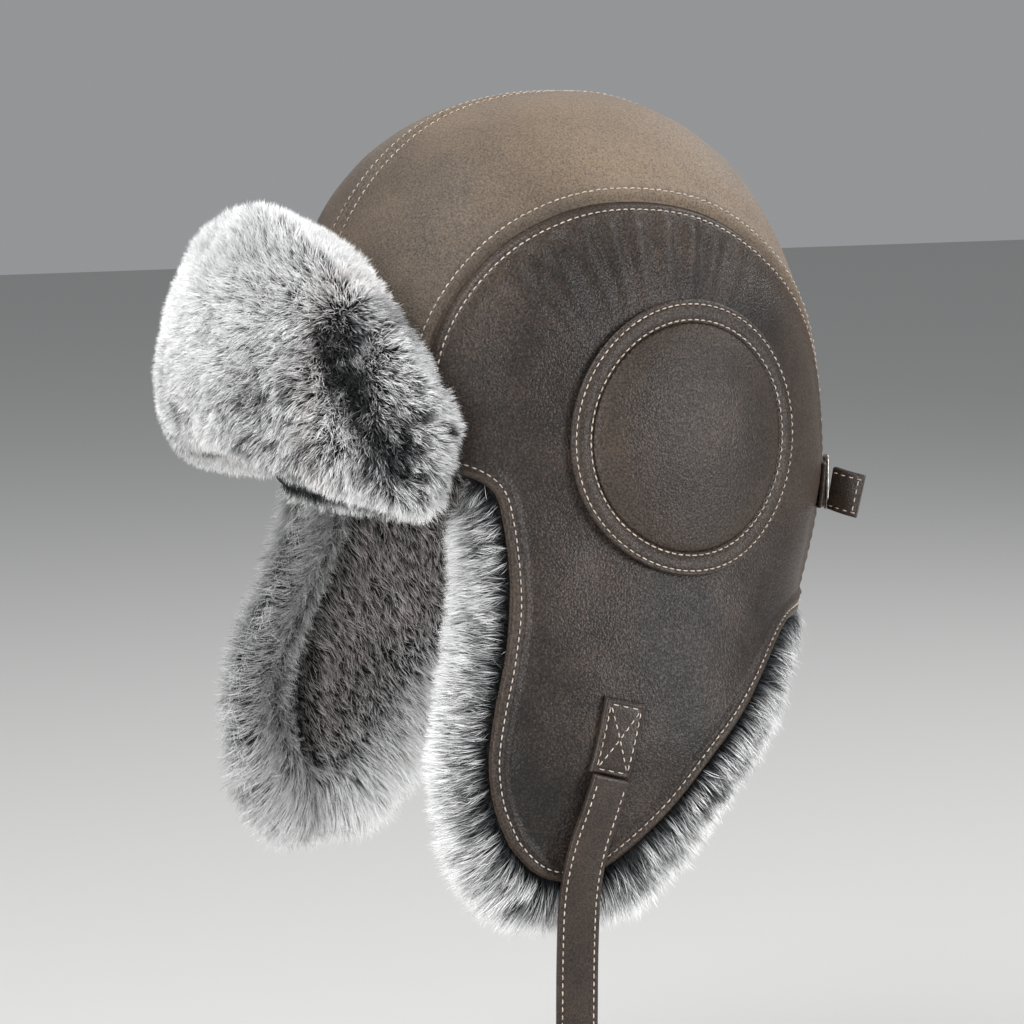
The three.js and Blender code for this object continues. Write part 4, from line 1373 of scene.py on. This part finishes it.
def make_strap_box(side):
    """The strap's sewn end: two layers of leather, with a box of stitches and a cross."""
    half = STRAP_WIDTH / 2
    a, b = np.meshgrid(spread(40, 8, 0.1) * 2 - 1, spread(70, 8, 0.06))
    a, b = a * half, b * BOX_LENGTH
    edge = np.minimum(half - np.abs(a), np.minimum(b, BOX_LENGTH - b))
    box_row = np.abs(edge - 2.1)
    top = 3.0 - 1.0 * (1 - np.sqrt(np.clip(edge / 1.0, 0, 1)))
    top -= 0.25 * np.exp(-((box_row / 0.8) ** 2)) - 0.2 * wave(np.dstack([a, b, a * 0]), 9)
    piece = shell(
        f"strap_box_leather_{side}", box_place(a, b, top),
        box_place(a, b, np.full(a.shape, 0.5)), side,
    )
    rub(piece, 0.2)
    dress(
        piece, STRAP_LEATHER, body=f"ear_flap_{side}",
        stands_for=(f"strap_box_{side}",),
    )
    inner, low, top_b = half - 2.1, 2.1, BOX_LENGTH - 2.1
    corners = [(-inner, low), (inner, low), (inner, top_b), (-inner, top_b), (-inner, low)]
    crossing = [((-inner, low), (inner, top_b)), ((inner, low), (-inner, top_b))]
    rows = []
    for start, stop in list(zip(corners[:-1], corners[1:])) + crossing:
        t = np.linspace(0.03, 0.97, 30)
        a = start[0] + (stop[0] - start[0]) * t
        b = start[1] + (stop[1] - start[1]) * t
        line = box_place(a, b, np.full(len(t), 3.0))
        rows.append((line, outward(line)))
    sewn(f"strap_box_stitching_{side}", rows, body=f"ear_flap_{side}", side=side)


def make_long_strap():
    """The left chin strap: two layers, stitched along both edges, with punched holes."""
    line = resampled(spline([
        (106.6, -39.2, STRAP_HINGE_Z + 1.0), (105, -43, -118), (102.5, -47, -133),
        (100.8, -49.5, -150), (99.8, -50, -172), (99.4, -50, -205), (99.2, -50, -245),
        (99, -50, -289),
    ]), 1.2)
    gone = np.linspace(0, LONG_STRAP, len(line))
    _, across, out = frame_along(line, np.array([1.0, 0.0, 0.0]))
    twist = np.radians(-13 * smoothstep(gone, 6, 60) + 12 * smoothstep(gone, 100, 170))
    turned_across = across * np.cos(twist)[:, None] + out * np.sin(twist)[:, None]
    out = out * np.cos(twist)[:, None] - across * np.sin(twist)[:, None]
    taper = 0.3 + 0.7 * np.clip((LONG_STRAP - gone) / POINT, 0, 1) ** 0.7
    section = oblong(STRAP_WIDTH, STRAP_THICKNESS)
    piece = swept_piece("long_strap_leather", section, line, turned_across, out, scale=taper)
    for hole in range(STRAP_HOLES):
        from_fold = LONG_STRAP - FIRST_HOLE - hole * HOLE_PITCH
        k = int(round(from_fold / LONG_STRAP * (len(line) - 1)))
        pierce(piece, line[k], out[k], HOLE_RADIUS)
    rub(piece, 0.25)
    dress(
        piece, STRAP_LEATHER, body="long_strap",
        stands_for=("chin_strap_left",),
    )
    rows = []
    for edge in (-1, 1):
        for face in (-1, 1):
            off = (STRAP_WIDTH / 2 * taper - 2.0)[:, None] * edge
            row = line + turned_across * off + out * face * STRAP_THICKNESS / 2
            rows.append((row[3:-4], out[3:-4] * face))
    sewn("long_strap_stitching", rows, body="long_strap")


def pierce(piece, centre, axis, radius):
    """Punches a round hole through a piece."""
    _, across, out = frame_along(np.array([centre - axis * 5, centre, centre + axis * 5]),
                                 np.array([0.0, 0.6, 0.8]))
    line = np.array([centre - axis * 5, centre + axis * 5])
    punch = swept_piece(
        "punch", round_section(radius, 20), line, across[[0, 2]], out[[0, 2]],
    )
    cut = piece.modifiers.new("hole", "BOOLEAN")
    cut.object, cut.operation, cut.solver = punch, "DIFFERENCE", "EXACT"
    bpy.context.view_layer.update()
    seen = piece.evaluated_get(bpy.context.evaluated_depsgraph_get())
    holed = bpy.data.meshes.new_from_object(seen)
    piece.modifiers.clear()
    piece.data = holed
    keep_place(holed)
    bpy.data.objects.remove(punch)


def make_buckle_side():
    """The right strap: folded round the buckle's bar and held by a keeper."""
    loop = BAR_RADIUS + 0.5 + 0.6
    turn = np.radians(np.linspace(180, 360, 22))
    bottom = [(loop * math.cos(a), loop * math.sin(a)) for a in turn]
    high = STRAP_HINGE_Z - 0.4 - BAR[2]
    flat = [(-0.75, high), (-1.3, high - 3), (-loop, high - 8)] + bottom
    flat += [(loop, high - 8), (1.1, high - 3), (0.8, high)]
    path = resampled(spline([(BAR[0] + x, BAR[1], BAR[2] + z) for x, z in flat]), 0.5)
    run = unit(np.gradient(path, axis=0))
    across = np.tile([0.0, 1.0, 0.0], (len(path), 1))
    section = oblong(STRAP_WIDTH, 1.15, corner=0.45)
    strap = swept_piece(
        "short_strap_leather", section, path, across, np.cross(run, across), side="right"
    )
    dress(
        strap, STRAP_LEATHER, body="short_strap",
        stands_for=("chin_strap_right",),
    )
    rows = []
    for edge in (-1, 1):
        front = np.array([
            (BAR[0] + loop + 0.62, BAR[1] + edge * (STRAP_WIDTH / 2 - 2), BAR[2] + z)
            for z in np.linspace(1.5, high - 8, 30)
        ])
        rows.append((front, np.tile([1.0, 0.0, 0.0], (30, 1))))
    sewn("short_strap_stitching", rows, body="short_strap", side="right")

    wide, deep = STRAP_WIDTH + 4 - 1.2, 9.2 - 1.2
    line = ring_line(deep, wide, 1.6, BAR + [0, 0, 10.0], (1, 0, 0), (0, 1, 0))
    up = np.tile([0.0, 0.0, 1.0], (len(line), 1))
    keeper = swept_piece(
        "strap_keeper_leather", oblong(6.0, 1.15, corner=0.5), line, up,
        np.cross(loop_run(line), up), side="right", closed=True,
    )
    dress(
        keeper, STRAP_LEATHER, body="short_strap",
        stands_for=("strap_keeper",),
    )

    ring = ring_line(
        FRAME_WIDE - WIRE, FRAME_HIGH, 2.2, BAR - [0, 0, FRAME_HIGH / 2], (0, 1, 0), (0, 0, 1)
    )
    points, quads, _ = wire_ring(ring, WIRE / 2, (1, 0, 0))
    points = to_side(points, "right")
    buckle = mesh_piece("buckle_wire", points, outwards(points, quads))
    dress(buckle, NICKEL, body="buckle", stands_for=("buckle_frame",))

    turn = np.radians(np.linspace(100, 400, 30))
    hook = [(2.2 * math.cos(a), 2.2 * math.sin(a)) for a in turn]
    tongue = [(2.25, -2.5), (2.1, -9.0), (2.05, -16.0), (1.95, -FRAME_HIGH - 1.0)]
    flat = hook[:-4] + tongue
    path = resampled(spline([(BAR[0] + x, BAR[1], BAR[2] + z) for x, z in flat]), 0.4)
    run, across, out = frame_along(path, np.array([0.0, 1.0, 0.0]))
    pin = swept_piece(
        "buckle_pin_wire", round_section(0.75, 14), path, across, out, side="right"
    )
    dress(pin, NICKEL, body="pin", stands_for=("buckle_pin",))


# ---- Nape adjuster ----
def band_on_head(name, start, stop, height, width):
    """A flat leather band on the head form at the nape, between two plan directions."""
    u, v = np.meshgrid(spread(90, 6, 0.03), spread(26, 8, 0.12))
    z = ADJUSTER_Z + (v - 0.5) * width
    base = from_angle(start + (stop - start) * u, z)
    edge = np.minimum((0.5 - np.abs(v - 0.5)) * width, 4.0)
    long = np.linalg.norm(base[0, 0] - base[0, -1])
    edge = np.minimum(edge, (0.5 - np.abs(u - 0.5)) * long)
    top = height - 0.9 * (1 - np.sqrt(np.clip(edge / 0.9, 0, 1)))
    top -= 0.2 * np.exp(-(((edge - 2.0) / 0.7) ** 2))
    piece = shell(name, lifted(base, top), lifted(base, np.full(u.shape, 0.5)))
    rub(piece, 0.3)
    rows = []
    for off in (-1, 1):
        t = np.linspace(0.02, 0.98, 120)
        line = from_angle(start + (stop - start) * t, ADJUSTER_Z + off * (width / 2 - 2.0))
        rows.append((lifted(line, np.full(len(t), height)), outward(line)))
    return piece, rows


def make_adjuster():
    strap, rows = band_on_head("adjuster_leather", 112, RING_ANGLE + 2, 2.6, ADJUSTER_WIDTH)
    dress(
        strap, STRAP_LEATHER, body="crown", stands_for=("adjuster_strap",)
    )
    sewn("adjuster_stitching", rows, body="crown")
    tab, rows = band_on_head(
        "adjuster_tab_leather", RING_ANGLE - 2.5, RING_ANGLE - 8, 2.6, ADJUSTER_WIDTH
    )
    dress(tab, STRAP_LEATHER, body="crown", stands_for=("adjuster_tab",))

    centre = from_angle(RING_ANGLE, ADJUSTER_Z)
    out = outward(centre)
    centre = centre + out * 3.9
    flat = np.array([out[0], out[1], 0.0]) / math.hypot(out[0], out[1])
    sideways = np.array([flat[1], -flat[0], 0.0])
    line = ring_line(5.4, ADJUSTER_WIDTH + 3, 1.4, centre, sideways, (0, 0, 1))
    points, quads, _ = wire_ring(line, 1.0, flat)
    ring = mesh_piece("adjuster_ring_wire", points, outwards(points, quads))
    dress(ring, NICKEL, body="crown", stands_for=("adjuster_ring",))

    start = np.array([52.4, 100.0, ADJUSTER_Z - 2.0])
    way = np.array([0.86, 0.51, -0.2])
    way /= np.linalg.norm(way)
    bow = np.array([-way[1], way[0], 0.0])
    t = np.linspace(0, 1, 30)
    line = start + way * (13.5 * t)[:, None] - bow * (1.6 * np.sin(t * 2.4))[:, None]
    run = unit(np.gradient(line, axis=0))
    up = unit(np.array([0, 0, 1.0]) - run * run[:, 2:])
    out = np.cross(run, up)
    tail = swept_piece(
        "adjuster_tail_leather", oblong(ADJUSTER_WIDTH, 3.0, corner=1.0), line, up, out
    )
    rub(tail, 0.35)
    dress(tail, STRAP_LEATHER, body="tail", stands_for=("adjuster_tail",))
    rows = []
    for face in (-1, 1):
        for off in (-1, 1):
            row = line + up * off * (ADJUSTER_WIDTH / 2 - 2) + out * face * 1.5
            rows.append((row, out * face))
        t = np.linspace(-ADJUSTER_WIDTH / 2 + 2, ADJUSTER_WIDTH / 2 - 2, 20)[:, None]
        rows.append((line[-5] + up[-5] * t + out[-5] * face * 1.5, np.tile(out[-5] * face, (20, 1))))
    sewn("adjuster_tail_stitching", rows, body="tail")


def turned_metal(name, profile, centre, axis):
    """A turned metal piece about an axis: the profile is a loop of (radius, height)."""
    radius, height = np.array(profile, float).T
    turn = np.linspace(0, 2 * math.pi, 40, endpoint=False)
    _, across, out = frame_along(np.array([centre, centre + axis]), np.array([0.0, 0.0, 1.0]))
    across, out = across[0], out[0]
    points = (
        centre + axis * height[:, None, None]
        + radius[:, None, None]
        * (np.cos(turn)[None, :, None] * across + np.sin(turn)[None, :, None] * out)
    )
    quads = loop_faces(*points.shape[:2])
    points = points.reshape(-1, 3)
    return mesh_piece(name, points, outwards(points, quads))


def make_snap():
    """The press stud that holds the visor up: a stud on the crown, a socket on the visor."""
    centre = from_angle(-90, SNAP_Z)
    axis = outward(centre)
    stud = turned_metal("snap_stud_metal", [
        (0.01, 0.5), (4.4, 0.5), (4.5, 0.7), (4.3, 0.95), (2.3, 1.0), (1.9, 1.2), (2.1, 1.7),
        (1.6, 1.95), (0.01, 2.0),
    ], centre, axis)
    dress(stud, NICKEL, body="crown", stands_for=("snap_stud",))
    socket = turned_metal("snap_socket_metal", [
        (2.6, 2.35), (5.6, 2.35), (6.0, 2.6), (5.9, 3.4), (5.4, 3.85), (0.01, 3.95),
        (0.01, 3.2), (2.4, 3.1),
    ], centre, axis)
    dress(socket, NICKEL, body="visor", stands_for=("snap_socket",))


# ---- Camera, light and floor ----
def make_setting():
    azimuth, elevation, distance = math.radians(60), math.radians(8), 1.3
    back = Vector((
        math.sin(azimuth) * math.cos(elevation), -math.cos(azimuth) * math.cos(elevation),
        math.sin(elevation),
    ))
    right = Vector((math.cos(azimuth), math.sin(azimuth), 0))
    up = back.cross(right)
    camera = bpy.data.objects.new("camera", bpy.data.cameras.new("camera"))
    camera.data.sensor_width = 36.0
    camera.data.lens = 112.0
    camera.data.clip_end = 50.0
    camera.location = back * distance + right * -0.0184 + up * -0.0192
    camera.rotation_mode = "QUATERNION"
    camera.rotation_quaternion = back.to_track_quat("Z", "Y")
    bpy.context.scene.collection.objects.link(camera)
    bpy.context.scene.camera = camera

    floor = mesh_piece(
        "floor",
        [(x * 6000, y * 6000, FLOOR_Z) for x, y in ((-1, -1), (1, -1), (1, 1), (-1, 1))],
        [(0, 1, 2, 3)],
    )
    pale = new_material("matt pale paint")
    surface(pale, add(pale, "BsdfPrincipled", {
        "Base Color": colour("#c9c9c7"), "Roughness": 0.9, "Specular IOR Level": 0.2,
    }))
    floor.data.materials.append(pale)

    bpy.context.scene.view_settings.view_transform = "Standard"
    world = bpy.data.worlds.new("studio")
    bpy.context.scene.world = world
    world.use_nodes = True
    world.node_tree.nodes["Background"].inputs["Color"].default_value = colour("#dfe1e4")
    world.node_tree.nodes["Background"].inputs["Strength"].default_value = 0.4

    def soft_light(name, where, size, power, tint="#ffffff"):
        light = bpy.data.lights.new(name, "AREA")
        light.shape = "RECTANGLE"
        light.size, light.size_y = size
        light.energy = power
        light.color = colour(tint)[:3]
        made = bpy.data.objects.new(name, light)
        made.location = where
        made.rotation_mode = "QUATERNION"
        made.rotation_quaternion = Vector(where).to_track_quat("Z", "Y")
        bpy.context.scene.collection.objects.link(made)

    soft_light("key", (0.2, -1.0, 1.5), (1.1, 1.1), 36)
    soft_light("front", (0.85, -1.4, 0.05), (0.7, 0.7), 14)
    soft_light("sheen", (1.35, 0.8, 0.25), (0.4, 1.2), 20)
    soft_light("back", (-0.2, 1.5, 1.2), (0.9, 0.9), 15)


make_setting()
for side in ("left", "right"):
    make_crown(side)
    make_crown_lining(side)
    make_side(side)
    make_ear_patch(side)
    make_side_fur(side)
    make_strap_box(side)
make_neck_fur()
make_forehead_fur()
make_visor()
make_snap()
make_long_strap()
make_buckle_side()
make_adjuster()
